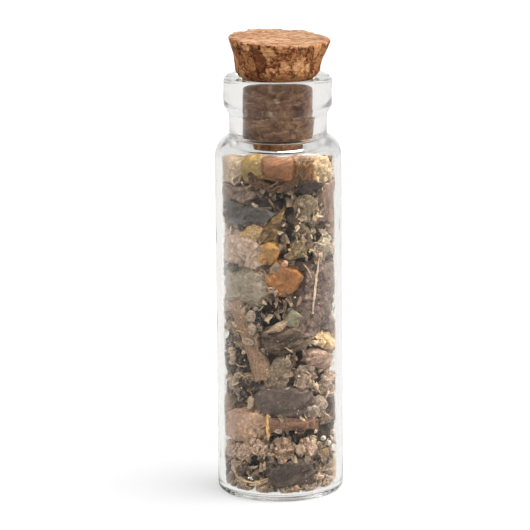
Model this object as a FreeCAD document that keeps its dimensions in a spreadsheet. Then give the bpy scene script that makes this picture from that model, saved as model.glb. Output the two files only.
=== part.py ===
import FreeCAD, Part
import os
import Sketcher

# A corked glass vial filled with dried resin, bark, leaves, petals and seeds.
# The origin is at the centre of the underside, +Z runs up the vial's axis and -Y is the front.
# All sizes are millimetres and all angles are degrees.

VESSEL_SIZES = {
    "body_radius": 11.0,
    "cavity_radius": 9.95,
    "base_thickness": 0.9,
    "shoulder_height": 62.1,
    "neck_base_height": 63.35,
    "neck_radius": 8.5,
    "neck_top_height": 67.3,
    "lip_radius": 9.4,
    "lip_base_height": 68.7,
    "vial_height": 73.8,
    "bore_radius": 6.2,
    "cavity_shoulder_height": 61.2,
    "bore_base_height": 62.3,
    "base_round": 1.5,
    "shoulder_round": 3.8,
    "neck_round": 0.7,
    "lip_hollow_round": 0.8,
    "lip_round": 1.2,
    "rim_round": 0.9,
    "cavity_floor_round": 1.2,
    "cavity_shoulder_round": 2.4,
    "bore_base_round": 0.5,
    "mouth_round": 1.3,
    "cork_foot_height": 63.2,
    "shank_radius": 6.15,
    "cork_seat_height": 73.86,
    "cork_seat_radius": 6.7,
    "cork_top_height": 80.7,
    "cork_top_radius": 9.0,
    "cork_seat_round": 0.45,
    "cork_edge_round": 0.5,
    "fill_gap": 0.05,
    "fill_height": 61.2,
    "fill_top_round": 2.5,
    "fill_floor_round": 1.3,
}

PIECE_COLUMNS = ("azimuth", "height", "inset", "wide", "tall", "deep", "roll")

# Each piece has a node, a kind, and then the columns above. Azimuth turns from the front (0)
# towards the right (90). Inset is the gap between the piece and the glass, wide runs round the
# glass, tall up it and deep into it, and roll leans the piece's top to the right. Pieces that
# come first keep their whole shape; later ones are cut back where they meet earlier ones.
PIECES = [
    # long pieces and thin ones against the glass
    ("smooth_twig", "twig", -37, 28.4, 0.4, 3.4, 14.4, 3.2, -24),
    ("pale_seeds", "seed", -31, 32.9, 0.0, 1.6, 2.2, 1.3, 8),
    ("pale_seeds", "seed", -30, 30.6, 0.0, 1.5, 2.2, 1.3, -6),
    ("pale_seeds", "seed", -34, 28.4, 0.0, 2.4, 1.3, 0.6, 4),
    ("pale_stem", "twig", 39, 38.6, 0.0, 0.5, 10.8, 0.5, 9),
    ("pale_bead", "seed", 6, 42.5, 0.0, 1.2, 1.2, 1.1, 0),
    ("curled_bark_strip", "curl", -4, 60.6, 0.2, 11.3, 2.4, 1.3, 184),
    ("red_bark_twig", "twig", 15, 13.6, 0.2, 2.3, 8.6, 2.3, 92),
    ("straw_curl", "curl", -34, 8.6, 0.2, 12.0, 2.8, 0.7, 168),
    ("twisted_leaf", "leaf", -4, 49.4, 0.1, 3.0, 9.4, 1.1, 42),
    ("olive_leaf", "leaf", 30, 50.4, 0.1, 5.6, 8.2, 0.9, 6),
    ("silver_leaf", "leaf", 56, 44.6, 0.1, 5.0, 5.4, 0.7, -20),
    ("small_olive_leaf", "leaf", 18, 44.6, 0.1, 3.6, 4.2, 0.7, 12),
    ("yellow_petal", "leaf", -27, 47.9, 0.1, 2.4, 5.0, 0.8, 84),
    ("golden_resin_flake", "leaf", 55, 58.3, 0.1, 5.2, 6.8, 1.2, 110),
    ("golden_petal", "leaf", 56, 27.9, 0.1, 3.8, 6.8, 0.7, 114),
    ("pale_leaf_tip", "leaf", -3, 31.2, 0.1, 1.3, 4.2, 0.6, 58),
    ("round_leaf", "leaf", -2, 22.8, 0.1, 4.8, 5.8, 0.7, 8),
    ("crumpled_leaf", "leaf", 30, 21.9, 0.1, 4.4, 4.8, 0.8, -16),
    ("grey_leaf", "leaf", 41, 16.4, 0.1, 3.6, 4.2, 0.7, 100),
    ("thin_yellow_petal", "leaf", -13, 13.5, 0.1, 0.9, 4.2, 2.4, 0),
    ("shrivelled_flower", "flower", 62, 19.8, 0.1, 6.4, 6.4, 2.4, 0),
    ("crumpled_flower", "flower", 1, 9.0, 0.1, 5.6, 4.4, 2.2, 10),
    ("star_flower", "flower", 34, 9.6, 0.1, 3.6, 3.4, 1.6, 20),
    ("curled_husks", "curl", -66, 25.0, 0.2, 3.8, 3.4, 1.1, 80),
    ("curled_husks", "curl", -47, 20.8, 0.2, 3.6, 3.0, 1.1, -60),
    ("curled_husks", "curl", -68, 19.6, 0.2, 3.8, 3.4, 1.1, 40),
    ("curled_husks", "curl", -38, 17.6, 0.2, 3.0, 2.6, 1.0, 100),
    ("white_seeds", "seed", 58, 9.4, 0.0, 1.1, 0.9, 0.8, 0),
    ("white_seeds", "seed", 66, 8.2, 0.0, 1.0, 1.2, 0.8, 0),
    ("white_seeds", "seed", 49, 10.6, 0.0, 0.9, 0.9, 0.8, 0),
    ("white_seeds", "seed", 70, 11.0, 0.0, 1.0, 0.9, 0.8, 0),
    # lumps seen from the front, top to bottom
    ("pale_resin_lump", "lump", -62, 58.0, 0.1, 5.4, 5.0, 5.0, 6),
    ("olive_resin_lump", "lump", -29, 58.7, 0.1, 4.2, 5.0, 4.6, -8),
    ("orange_resin_lump", "lump", -1, 59.1, 0.1, 6.0, 4.4, 5.4, 5),
    ("rough_brown_lump", "lump", 29, 58.8, 0.1, 5.0, 4.8, 5.0, -6),
    ("mauve_bark_lump", "lump", -52, 54.2, 0.1, 7.2, 3.2, 4.6, -5),
    ("slate_resin_lump", "lump", -36, 50.8, 0.1, 9.6, 5.2, 6.0, 4),
    ("dark_root_strip", "lump", 36, 56.0, 0.1, 5.4, 2.4, 4.0, -12),
    ("red_bark_strip", "slab", 66, 52.4, 0.1, 4.8, 7.4, 1.8, 4),
    ("pink_resin_lump", "lump", -46, 44.4, 0.1, 9.0, 6.6, 6.4, 3),
    ("honey_resin_chip", "lump", -13, 44.2, 0.1, 3.4, 3.8, 3.6, 10),
    ("amber_resin_lump", "lump", 5, 39.6, 0.1, 5.4, 5.4, 5.0, 38),
    ("green_resin_lump", "lump", -43, 38.1, 0.1, 8.6, 6.2, 6.2, -4),
    ("rough_bark_slab", "slab", 53, 35.2, 0.2, 8.4, 13.2, 2.8, 4),
    ("pale_green_chip", "lump", 15, 32.6, 0.1, 3.0, 3.0, 2.8, 30),
    ("dark_leaf", "lump", 4, 28.8, 0.3, 8.0, 4.4, 4.2, -10),
    ("pink_bark_fragment", "lump", 48, 24.9, 0.1, 6.2, 2.8, 3.0, 14),
    ("mauve_resin_lump", "lump", 4, 17.8, 0.2, 9.6, 6.0, 6.0, 5),
    ("tan_resin_lump", "lump", -42, 13.2, 0.1, 7.6, 5.6, 6.0, -10),
    ("dark_bark_lump", "lump", 14, 5.2, 0.1, 8.6, 5.4, 6.0, -6),
    ("pale_crumbs", "crumb", -24, 9.4, 0.1, 2.6, 2.6, 2.6, 20),
    ("pale_crumbs", "crumb", -42, 8.6, 0.1, 2.8, 2.6, 2.6, -15),
    ("pale_crumbs", "crumb", -62, 8.2, 0.1, 3.0, 2.8, 2.8, 10),
    ("pale_crumbs", "crumb", -74, 12.0, 0.1, 2.8, 2.8, 2.6, 40),
    ("pale_crumbs", "crumb", -54, 5.6, 0.1, 2.4, 2.0, 2.4, 0),
    ("floor_crumbs", "crumb", -70, 2.4, 0.3, 2.6, 2.0, 2.6, 15),
    ("floor_crumbs", "crumb", -46, 2.2, 0.3, 2.6, 1.8, 2.6, -10),
    ("floor_crumbs", "crumb", -20, 2.0, 0.3, 2.6, 1.6, 2.6, 8),
    ("floor_crumbs", "crumb", 6, 1.9, 0.3, 2.4, 1.4, 2.4, 0),
    ("floor_crumbs", "crumb", 32, 2.0, 0.3, 2.6, 1.6, 2.6, -12),
    ("floor_crumbs", "crumb", 60, 2.4, 0.3, 2.8, 2.2, 2.6, 10),
    # the sides and the back
    ("side_bark_slab", "slab", 95, 14.7, 0.2, 6.0, 13.0, 2.4, -4),
    ("side_twig", "twig", -92, 45.0, 0.3, 2.2, 16.0, 2.2, 8),
    ("back_bark_slab", "slab", 196, 20.0, 0.2, 7.0, 15.0, 2.6, 10),
    ("back_twig", "twig", 150, 43.0, 0.4, 2.4, 15.0, 2.4, -30),
    ("back_leaves", "leaf", 112, 57.0, 0.1, 6.0, 7.6, 0.8, 110),
    ("back_leaves", "leaf", 170, 30.6, 0.1, 6.4, 7.6, 0.8, -25),
    ("back_leaves", "leaf", 240, 36.0, 0.1, 6.0, 8.0, 0.8, 15),
    ("back_leaves", "leaf", 225, 9.0, 0.1, 6.0, 7.6, 0.8, 90),
    ("back_leaves", "leaf", 200, 50.4, 0.1, 6.2, 7.8, 0.8, 125),
    ("side_resin_lumps", "lump", 92, 27.0, 0.1, 6.4, 6.0, 5.0, 8),
    ("side_resin_lumps", "lump", 96, 47.0, 0.1, 6.6, 6.2, 5.2, -10),
    ("side_resin_lumps", "lump", 268, 53.0, 0.1, 6.2, 6.6, 5.0, 12),
    ("side_resin_lumps", "lump", 272, 32.0, 0.1, 6.4, 7.0, 5.0, -6),
    ("side_resin_lumps", "lump", 272, 14.6, 0.1, 5.6, 6.4, 5.0, 4),
    ("side_resin_lumps", "lump", 88, 5.0, 0.1, 6.4, 5.4, 5.0, 0),
    ("back_resin_lumps", "lump", 144, 58.2, 0.1, 6.6, 5.2, 5.4, 10),
    ("back_resin_lumps", "lump", 186, 57.6, 0.1, 7.6, 5.6, 5.4, -8),
    ("back_resin_lumps", "lump", 232, 57.8, 0.1, 7.4, 5.2, 5.4, 6),
    ("back_resin_lumps", "lump", 234, 47.2, 0.1, 7.4, 6.2, 5.4, -12),
    ("back_resin_lumps", "lump", 188, 42.6, 0.1, 7.0, 7.0, 5.4, 5),
    ("back_resin_lumps", "lump", 128, 36.4, 0.1, 7.2, 6.6, 5.4, 14),
    ("back_resin_lumps", "lump", 204, 34.6, 0.1, 6.4, 6.8, 5.4, -9),
    ("back_resin_lumps", "lump", 132, 26.0, 0.1, 7.4, 7.0, 5.4, 6),
    ("back_resin_lumps", "lump", 238, 25.6, 0.1, 7.2, 7.0, 5.4, -7),
    ("back_resin_lumps", "lump", 144, 14.0, 0.1, 7.8, 7.0, 5.4, 12),
    ("back_resin_lumps", "lump", 238, 16.0, 0.1, 6.6, 6.6, 5.4, -4),
    ("back_resin_lumps", "lump", 136, 5.2, 0.1, 7.8, 6.0, 5.6, 6),
    ("back_resin_lumps", "lump", 184, 5.4, 0.1, 7.0, 5.8, 5.6, -6),
    ("back_bark_lumps", "lump", 150, 51.4, 0.1, 7.6, 6.0, 5.2, -10),
    ("back_bark_lumps", "lump", 262, 41.4, 0.1, 5.6, 6.0, 5.0, 8),
    ("back_bark_lumps", "lump", 262, 22.8, 0.1, 5.6, 5.6, 5.0, -5),
    ("back_bark_lumps", "lump", 96, 38.6, 0.1, 5.8, 6.6, 5.0, 6),
    ("back_bark_lumps", "lump", 100, 54.0, 0.1, 5.6, 5.4, 5.0, -12),
    ("back_bark_lumps", "lump", 260, 4.8, 0.1, 6.0, 5.2, 5.2, 10),
    # the middle
    ("core_bark_lump_low", "lump", 0, 8.0, 4.0, 11.5, 12.5, 11.8, 0),
    ("core_resin_lump_low", "lump", 30, 21.2, 4.0, 11.5, 12.5, 11.8, 0),
    ("core_bark_lump_middle", "lump", 60, 34.2, 4.0, 11.5, 12.5, 11.8, 0),
    ("core_resin_lump_high", "lump", 90, 47.0, 4.0, 11.5, 12.2, 11.8, 0),
    ("core_bark_lump_high", "lump", 20, 56.8, 4.0, 11.5, 7.0, 11.8, 0),
]

LUMP_TILT = 9.0  # how far a lump's block leans before its edges are broken off
EDGE_BREAK = 0.565  # a breaking block's side beside the sum of the two sides it cuts across
BREAK_LENGTH = 1.3
BREAK_ANGLE = 41.0
TWIST_STEP = 7  # each lump's edges are broken at angles of its own
TWIST_TURNS = 13
FLOWER_DOME = 0.75
LEAF_REACH = 8.0
TWIG_TAPER = 0.86
CURL_SWEEP = 120.0
SLAB_BEND = 0.9  # a bark plate's radius beside its width
PETAL_COUNT = 5
SAME = 1e-4

doc = FreeCAD.newDocument("SampleVial")
sheet = doc.addObject("Spreadsheet::Sheet", "Dimensions")
values = {}


def write_size(alias, value):
    """Puts one named number in the next row of the sheet."""
    row = len(values) + 1
    sheet.set(f"A{row}", alias)
    sheet.set(f"B{row}", str(value))
    sheet.setAlias(f"B{row}", alias)
    values[alias] = value


def bind(thing, prop, formula):
    """Ties a property to a formula of named sizes."""
    thing.setExpression(prop, formula)


def ref(alias):
    return f"Dimensions.{alias}"


# ---- the vessel: turned bodies -------------------------------------------------------------


def plane_of(body, role):
    """One of a body's own origin planes."""
    return next(f for f in body.Origin.OriginFeatures if f.Role == role)


def pin_point(sketch, line, aliases):
    """Holds the start of a line at the named distance from each axis."""
    axes = (("DistanceX", -2), ("DistanceY", -1))
    for (kind, axis), alias in zip(axes, aliases):
        if alias is None:
            sketch.addConstraint(Sketcher.Constraint("PointOnObject", line, 1, axis))
            continue
        number = sketch.addConstraint(
            Sketcher.Constraint(kind, -1, 1, line, 1, values[alias])
        )
        name = f"{alias}_{line}"
        sketch.renameConstraint(number, name)
        bind(sketch, f"Constraints.{name}", ref(alias))


def profile_sketch(body, name, corners):
    """A closed outline in the XZ plane, through corners named as (radius, height)."""
    sketch = body.newObject("Sketcher::SketchObject", name)
    sketch.AttachmentSupport = (plane_of(body, "XZ_Plane"), [""])
    sketch.MapMode = "FlatFace"
    points = []
    for radius, height in corners:
        x = values[radius] if radius else 0.0
        z = values[height] if height else 0.0
        points.append(FreeCAD.Vector(x, z, 0))
    count = len(points)
    for i in range(count):
        segment = Part.LineSegment(points[i], points[(i + 1) % count])
        sketch.addGeometry(segment, False)
    for i in range(count):
        following = (i + 1) % count
        sketch.addConstraint(Sketcher.Constraint("Coincident", i, 2, following, 1))
    for i, corner in enumerate(corners):
        pin_point(sketch, i, corner)
    return sketch


def turned(body, kind, name, corners):
    """A Revolution or a Groove of an outline about the vial's axis."""
    sketch = profile_sketch(body, f"{name}_outline", corners)
    feature = body.newObject(f"PartDesign::{kind}", name)
    feature.Profile = sketch
    feature.ReferenceAxis = (sketch, ["V_Axis"])
    feature.Angle = 360.0
    doc.recompute()
    return feature


def ring_edge(shape, radius, height):
    """The name of the circular edge of this radius at this height."""
    for number, edge in enumerate(shape.Edges, start=1):
        curve = edge.Curve
        if not isinstance(curve, Part.Circle):
            continue
        if abs(curve.Radius - radius) < SAME and abs(curve.Center.z - height) < SAME:
            return f"Edge{number}"
    raise ValueError(f"no ring edge of radius {radius} at height {height}")


def rounded(body, name, rounds):
    """Rounds ring edges one after another: each is (radius, height, size) by name."""
    for radius, height, size in rounds:
        base = body.Tip
        edge = ring_edge(base.Shape, values[radius], values[height] if height else 0.0)
        fillet = body.newObject("PartDesign::Fillet", f"{name}_{size}")
        fillet.Base = (base, [edge])
        bind(fillet, "Radius", ref(size))
        doc.recompute()


def make_glass_vial():
    """The glass: a tube with a flat base, rounded shoulder, short neck and thick lip."""
    body = doc.addObject("PartDesign::Body", "glass_vial")
    body.Label = "glass_vial"
    outline = [
        (None, None),
        ("body_radius", None),
        ("body_radius", "shoulder_height"),
        ("neck_radius", "neck_base_height"),
        ("neck_radius", "neck_top_height"),
        ("lip_radius", "lip_base_height"),
        ("lip_radius", "vial_height"),
        (None, "vial_height"),
    ]
    turned(body, "Revolution", "glass_blank", outline)
    solid_volume = body.Shape.Volume
    hollow = [
        (None, "base_thickness"),
        ("cavity_radius", "base_thickness"),
        ("cavity_radius", "cavity_shoulder_height"),
        ("bore_radius", "bore_base_height"),
        ("bore_radius", "vial_height"),
        (None, "vial_height"),
    ]
    turned(body, "Groove", "glass_hollow", hollow)
    if body.Shape.Volume > 0.5 * solid_volume:
        raise ValueError("the hollow was not cut")
    rounds = [
        ("body_radius", None, "base_round"),
        ("body_radius", "shoulder_height", "shoulder_round"),
        ("neck_radius", "neck_base_height", "neck_round"),
        ("neck_radius", "neck_top_height", "lip_hollow_round"),
        ("lip_radius", "lip_base_height", "lip_round"),
        ("lip_radius", "vial_height", "rim_round"),
        ("cavity_radius", "base_thickness", "cavity_floor_round"),
        ("cavity_radius", "cavity_shoulder_height", "cavity_shoulder_round"),
        ("bore_radius", "bore_base_height", "bore_base_round"),
        ("bore_radius", "vial_height", "mouth_round"),
    ]
    rounded(body, "glass", rounds)
    return body


def make_cork_stopper():
    """The cork: a shank that fills the bore and a head that flares above the lip."""
    body = doc.addObject("PartDesign::Body", "cork_stopper")
    body.Label = "cork_stopper"
    outline = [
        (None, "cork_foot_height"),
        ("shank_radius", "cork_foot_height"),
        ("shank_radius", "cork_seat_height"),
        ("cork_seat_radius", "cork_seat_height"),
        ("cork_top_radius", "cork_top_height"),
        (None, "cork_top_height"),
    ]
    turned(body, "Revolution", "cork_blank", outline)
    rounds = [
        ("shank_radius", "cork_seat_height", "cork_seat_round"),
        ("shank_radius", "cork_foot_height", "cork_edge_round"),
        ("cork_top_radius", "cork_top_height", "cork_edge_round"),
    ]
    rounded(body, "cork", rounds)
    return body


def make_room():
    """The space the fill may take: the cavity, less a small gap all round."""
    body = doc.addObject("PartDesign::Body", "room")
    outline = [
        (None, "room_floor"),
        ("room_radius", "room_floor"),
        ("room_radius", "fill_height"),
        (None, "fill_height"),
    ]
    turned(body, "Revolution", "room_blank", outline)
    rounds = [
        ("room_radius", "room_floor", "fill_floor_round"),
        ("room_radius", "fill_height", "fill_top_round"),
    ]
    rounded(body, "room", rounds)
    return body


# ---- the fill: pieces in their own frames, x round the glass, y inwards, z up ----------------


def primitive(kind, name, formulas):
    """A Part primitive whose sizes follow the sheet."""
    thing = doc.addObject(f"Part::{kind}", name)
    for prop, formula in formulas.items():
        bind(thing, prop, formula)
    return thing


def ellipsoid(name, wide, deep, tall):
    """A full ellipsoid from formulas of its three whole sizes."""
    formulas = {
        "Radius1": f"({tall}) / 2",
        "Radius2": f"({wide}) / 2",
        "Radius3": f"({deep}) / 2",
    }
    return primitive("Ellipsoid", name, formulas)


def centred_box(name, wide, deep, tall):
    """A box from formulas of its sizes, with its centre at the origin."""
    box = primitive("Box", name, {"Length": wide, "Width": deep, "Height": tall})
    for axis, size in (("x", wide), ("y", deep), ("z", tall)):
        bind(box, f"Placement.Base.{axis}", f"-({size}) / 2")
    return box


def turned_about(name, thing, axis, angle, twist="0"):
    """A one-part compound that holds a thing turned about the origin, by an angle and a twist."""
    holder = doc.addObject("Part::Compound", name)
    holder.Links = [thing]
    holder.Placement = FreeCAD.Placement(
        FreeCAD.Vector(), FreeCAD.Rotation(FreeCAD.Vector(*axis), angle)
    )
    bind(holder, "Placement.Rotation.Angle", f"({angle} + {twist}) * 1deg")
    return holder


def common(name, things):
    """What several things share."""
    shared = doc.addObject("Part::MultiCommon", name)
    shared.Shapes = things
    return shared


def make_lump(key):
    """A broken lump: a tilted block with every edge broken off, each at its own angle."""
    wide, deep, tall = ref(f"{key}_wide"), ref(f"{key}_deep"), ref(f"{key}_tall")
    twist = ref(f"{key}_twist")
    block = centred_box(f"{key}_block", wide, deep, tall)
    tilted = turned_about(f"{key}_tilted", block, (1.0, 0.6, 0.8), LUMP_TILT, twist)
    parts = [tilted]
    breaks = [
        ("front", (0.0, 1.0, 0.0), (wide, tall), deep),
        ("side", (1.0, 0.0, 0.0), (deep, tall), wide),
        ("top", (0.0, 0.0, 1.0), (wide, deep), tall),
    ]
    for name, axis, (first, second), along in breaks:
        side = f"({first} + {second}) * {EDGE_BREAK}"
        length = f"{along} * {BREAK_LENGTH}"
        sizes = [side, side, side]
        sizes[axis.index(1.0)] = length
        breaker = centred_box(f"{key}_{name}", *sizes)
        spun = turned_about(f"{key}_{name}_spun", breaker, axis, BREAK_ANGLE, twist)
        parts.append(spun)
    return common(f"{key}_blank", parts)


def make_seed(key):
    """A smooth oval seed."""
    return ellipsoid(f"{key}_blank", *(ref(f"{key}_{s}") for s in ("wide", "deep", "tall")))


def make_twig(key):
    """A straight twig that tapers a little towards its top."""
    tall = ref(f"{key}_tall")
    formulas = {
        "Radius1": f"{ref(key + '_wide')} / 2",
        "Radius2": f"{ref(key + '_wide')} * {TWIG_TAPER} / 2",
        "Height": tall,
    }
    cone = primitive("Cone", f"{key}_stick", formulas)
    bind(cone, "Placement.Base.z", f"-{tall} / 2")
    holder = doc.addObject("Part::Compound", f"{key}_blank")
    holder.Links = [cone]
    return holder


def make_curl(key):
    """A curled strip: part of a ring that stands in the plane of the glass."""
    formulas = {
        "Radius1": f"({ref(key + '_wide')} - {ref(key + '_deep')}) / 2",
        "Radius2": f"{ref(key + '_deep')} / 2",
        "Angle3": f"{CURL_SWEEP}",
    }
    ring = primitive("Torus", f"{key}_ring", formulas)
    half_sweep = FreeCAD.Rotation(FreeCAD.Vector(0, 0, 1), 90 - CURL_SWEEP / 2)
    upright = FreeCAD.Rotation(FreeCAD.Vector(1, 0, 0), 90)
    ring.Placement = FreeCAD.Placement(FreeCAD.Vector(), upright.multiply(half_sweep))
    holder = doc.addObject("Part::Compound", f"{key}_blank")
    holder.Links = [ring]
    return holder


def make_slab(key):
    """A plate of bark, curved across its width like the branch it came from."""
    wide, tall, deep = ref(f"{key}_wide"), ref(f"{key}_tall"), ref(f"{key}_deep")
    bend = f"{wide} * {SLAB_BEND}"
    outer = primitive("Cylinder", f"{key}_outer", {"Radius": bend, "Height": tall})
    inner_sizes = {"Radius": f"{bend} - {deep}", "Height": tall}
    inner = primitive("Cylinder", f"{key}_inner", inner_sizes)
    for cylinder in (outer, inner):
        bind(cylinder, "Placement.Base.y", f"{bend} - {deep} / 2")
        bind(cylinder, "Placement.Base.z", f"-{tall} / 2")
    plate = doc.addObject("Part::Cut", f"{key}_plate")
    plate.Base = outer
    plate.Tool = inner
    ends = centred_box(f"{key}_ends", wide, f"{deep} * 2.4", f"{tall} * 0.97")
    slanted = turned_about(f"{key}_slanted", ends, (0.0, 1.0, 0.0), 5.0)
    return common(f"{key}_blank", [plate, slanted])


def make_flower(key):
    """A dried flower head: a domed disc with one flat side for each petal."""
    wide, deep = ref(f"{key}_wide"), ref(f"{key}_deep")
    bulge = f"{wide} * {FLOWER_DOME}"
    dome = primitive("Sphere", f"{key}_dome", {"Radius": bulge})
    bind(dome, "Placement.Base.y", f"{bulge} - {deep} / 2")
    rim = primitive("Prism", f"{key}_rim", {"Circumradius": f"{wide} / 2", "Height": deep})
    rim.Polygon = PETAL_COUNT
    bind(rim, "Placement.Base.z", f"-{deep} / 2")
    facing = turned_about(f"{key}_facing", rim, (1.0, 0.0, 0.0), 90.0)
    return common(f"{key}_blank", [dome, facing])


def make_leaf(key):
    """A pointed oval, deep enough to be cut later to the layer that the leaf lies in."""
    wide, tall, deep = ref(f"{key}_wide"), ref(f"{key}_tall"), ref(f"{key}_deep")
    arc = f"(({wide}) ^ 2 + ({tall}) ^ 2) / (4 * {wide})"
    depth = f"{deep} * {LEAF_REACH}"
    sides = []
    for name, side in (("left", "-"), ("right", "")):
        disc = primitive("Cylinder", f"{key}_{name}", {"Radius": arc, "Height": depth})
        facing = turned_about(f"{key}_{name}_facing", disc, (1.0, 0.0, 0.0), -90.0)
        bind(facing, "Placement.Base.x", f"{side}(({arc}) - {wide} / 2)")
        bind(facing, "Placement.Base.y", f"-({depth}) / 2")
        sides.append(facing)
    return common(f"{key}_blank", sides)


MAKERS = {
    "lump": make_lump,
    "crumb": make_lump,
    "seed": make_seed,
    "twig": make_twig,
    "curl": make_curl,
    "slab": make_slab,
    "flower": make_flower,
    "leaf": make_leaf,
}


def leaf_shell(key):
    """The layer just inside the glass that a leaf lies in, so that it follows the glass."""
    inset, deep = ref(f"{key}_inset"), ref(f"{key}_deep")
    outer_radius = f"{ref('room_radius')} - {inset}"
    sizes = {"Radius": outer_radius, "Height": ref("fill_height")}
    outer = primitive("Cylinder", f"{key}_shell_outer", sizes)
    sizes = {"Radius": f"{outer_radius} - {deep}", "Height": ref("fill_height")}
    inner = primitive("Cylinder", f"{key}_shell_inner", sizes)
    shell = doc.addObject("Part::Cut", f"{key}_shell")
    shell.Base = outer
    shell.Tool = inner
    return shell


def seat(key, blank):
    """Puts a piece against the glass at its azimuth and height, and leans it by its roll."""
    holder = doc.addObject("Part::Compound", f"{key}_seated")
    holder.Links = [blank]
    upright = FreeCAD.Rotation(FreeCAD.Vector(0, 0, 1), values[f"{key}_azimuth"])
    lean = FreeCAD.Rotation(FreeCAD.Vector(0, 1, 0), values[f"{key}_roll"])
    holder.Placement = FreeCAD.Placement(FreeCAD.Vector(), upright.multiply(lean))
    middle = f"({ref('room_radius')} - {ref(key + '_inset')} - {ref(key + '_deep')} / 2)"
    azimuth = ref(f"{key}_azimuth")
    bind(holder, "Placement.Base.x", f"{middle} * sin({azimuth})")
    bind(holder, "Placement.Base.y", f"-{middle} * cos({azimuth})")
    bind(holder, "Placement.Base.z", ref(f"{key}_height"))
    return holder


def fitted(key, kind, room, earlier):
    """A piece in its place, kept inside the glass and clear of the pieces before it."""
    seated = seat(key, MAKERS[kind](key))
    parts = [seated, room]
    if kind == "leaf":
        parts.append(leaf_shell(key))
    inside = common(f"{key}_inside", parts)
    doc.recompute()
    reach = inside.Shape.BoundBox
    near = [other for other in earlier if other.Shape.BoundBox.intersect(reach)]
    near = [other for other in near if other.Shape.distToShape(inside.Shape)[0] < SAME]
    if not near:
        return inside
    pressed = doc.addObject("Part::Compound", f"{key}_neighbours")
    pressed.Links = near
    trimmed = doc.addObject("Part::Cut", f"{key}_trimmed")
    trimmed.Base = inside
    trimmed.Tool = pressed
    doc.recompute()
    return trimmed


def whole_piece(key, kind, room, earlier):
    """The largest solid of a fitted piece, in its own frame and placed in the vial."""
    shape = fitted(key, kind, room, earlier).Shape
    solid = max(shape.Solids, key=lambda s: s.Volume)
    placement = FreeCAD.Placement(
        solid.BoundBox.Center,
        FreeCAD.Rotation(FreeCAD.Vector(0, 0, 1), values[f"{key}_azimuth"]),
    )
    local = solid.copy()
    here = local.Placement
    local.Placement = FreeCAD.Placement()
    local.transformShape(placement.inverse().multiply(here).toMatrix(), True)
    piece = doc.addObject("Part::Feature", key)
    piece.Shape = local
    piece.Placement = placement
    return piece


def piece_keys():
    """A unique key for each row of PIECES: its node's name, numbered where a node has several."""
    nodes = [row[0] for row in PIECES]
    seen = {}
    keys = []
    for node in nodes:
        seen[node] = seen.get(node, 0) + 1
        keys.append(node if nodes.count(node) == 1 else f"{node}_{seen[node]}")
    return keys


def write_sheet(keys):
    """Fills the sheet with every driving dimension."""
    for alias, value in VESSEL_SIZES.items():
        write_size(alias, value)
    gap = VESSEL_SIZES["fill_gap"]
    write_size("room_radius", VESSEL_SIZES["cavity_radius"] - gap)
    write_size("room_floor", VESSEL_SIZES["base_thickness"] + gap)
    for key, row in zip(keys, PIECES):
        for column, value in zip(PIECE_COLUMNS, row[2:]):
            write_size(f"{key}_{column}", value)
        if row[1] in ("lump", "crumb"):
            twist = keys.index(key) * TWIST_STEP % TWIST_TURNS
            write_size(f"{key}_twist", twist)
    doc.recompute()


def make_fill(keys, room):
    """Every piece of the fill, gathered by node."""
    made = []
    nodes = {}
    for key, row in zip(keys, PIECES):
        piece = whole_piece(key, row[1], room, made)
        made.append(piece)
        nodes.setdefault(row[0], []).append(piece)
    subparts = []
    for node, pieces in nodes.items():
        if len(pieces) == 1:
            pieces[0].Label = node
            subparts.append(pieces[0])
            continue
        group = doc.addObject("Part::Compound", f"{node}_group")
        group.Label = node
        group.Links = pieces
        subparts.append(group)
    doc.recompute()
    return subparts


def check_document(subparts):
    """Stops if any feature failed or any sub-part is empty or not sound."""
    for thing in doc.Objects:
        if any(state in ("Invalid", "Error") for state in thing.State):
            raise ValueError(f"{thing.Name} failed")
    for subpart in subparts:
        if subpart.Shape.isNull() or not subpart.Shape.isValid():
            raise ValueError(f"{subpart.Label} has no sound shape")
        if not subpart.Shape.Solids:
            raise ValueError(f"{subpart.Label} has no solid")


def main():
    keys = piece_keys()
    write_sheet(keys)
    subparts = [make_glass_vial(), make_cork_stopper()]
    subparts += make_fill(keys, make_room())
    check_document(subparts)
    os.makedirs("parts", exist_ok=True)
    for subpart in subparts:
        subpart.Shape.exportStep(f"parts/{subpart.Label}.step")


main()
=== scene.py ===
import itertools
import math
import random

import bmesh
import bpy
import numpy as np
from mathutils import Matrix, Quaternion, Vector
from mathutils.bvhtree import BVHTree


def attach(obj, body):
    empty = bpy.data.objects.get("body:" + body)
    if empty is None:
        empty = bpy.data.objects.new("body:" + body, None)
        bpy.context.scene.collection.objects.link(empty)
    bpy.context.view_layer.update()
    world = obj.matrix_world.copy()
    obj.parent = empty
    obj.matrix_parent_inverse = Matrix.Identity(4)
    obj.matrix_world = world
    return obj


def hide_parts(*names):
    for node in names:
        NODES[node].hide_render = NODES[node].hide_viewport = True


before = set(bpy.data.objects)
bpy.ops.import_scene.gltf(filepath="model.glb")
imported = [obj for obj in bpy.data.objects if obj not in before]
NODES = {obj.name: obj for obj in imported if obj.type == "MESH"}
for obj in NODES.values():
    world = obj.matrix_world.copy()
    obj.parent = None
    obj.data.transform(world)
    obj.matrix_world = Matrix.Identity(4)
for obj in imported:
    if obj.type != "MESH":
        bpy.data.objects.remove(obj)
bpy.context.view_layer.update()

MM = 0.001
WHITE = (1.0, 1.0, 1.0, 1.0)

# The room that the fill keeps to inside the glass, in millimetres.
WALL_RADIUS = 9.86
WALL_SLACK = 0.1
FLOOR_HEIGHT = 0.98
FLOOR_ROUND = 1.3
FILL_TOP = 61.6

# ---- small helpers ---------------------------------------------------------------------------


def linear(colour):
    """A 0 to 255 screen colour as a linear one with full alpha."""
    channels = []
    for value in colour:
        c = value / 255
        channels.append(c / 12.92 if c <= 0.04045 else ((c + 0.055) / 1.055) ** 2.4)
    return (*channels, 1.0)


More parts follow.
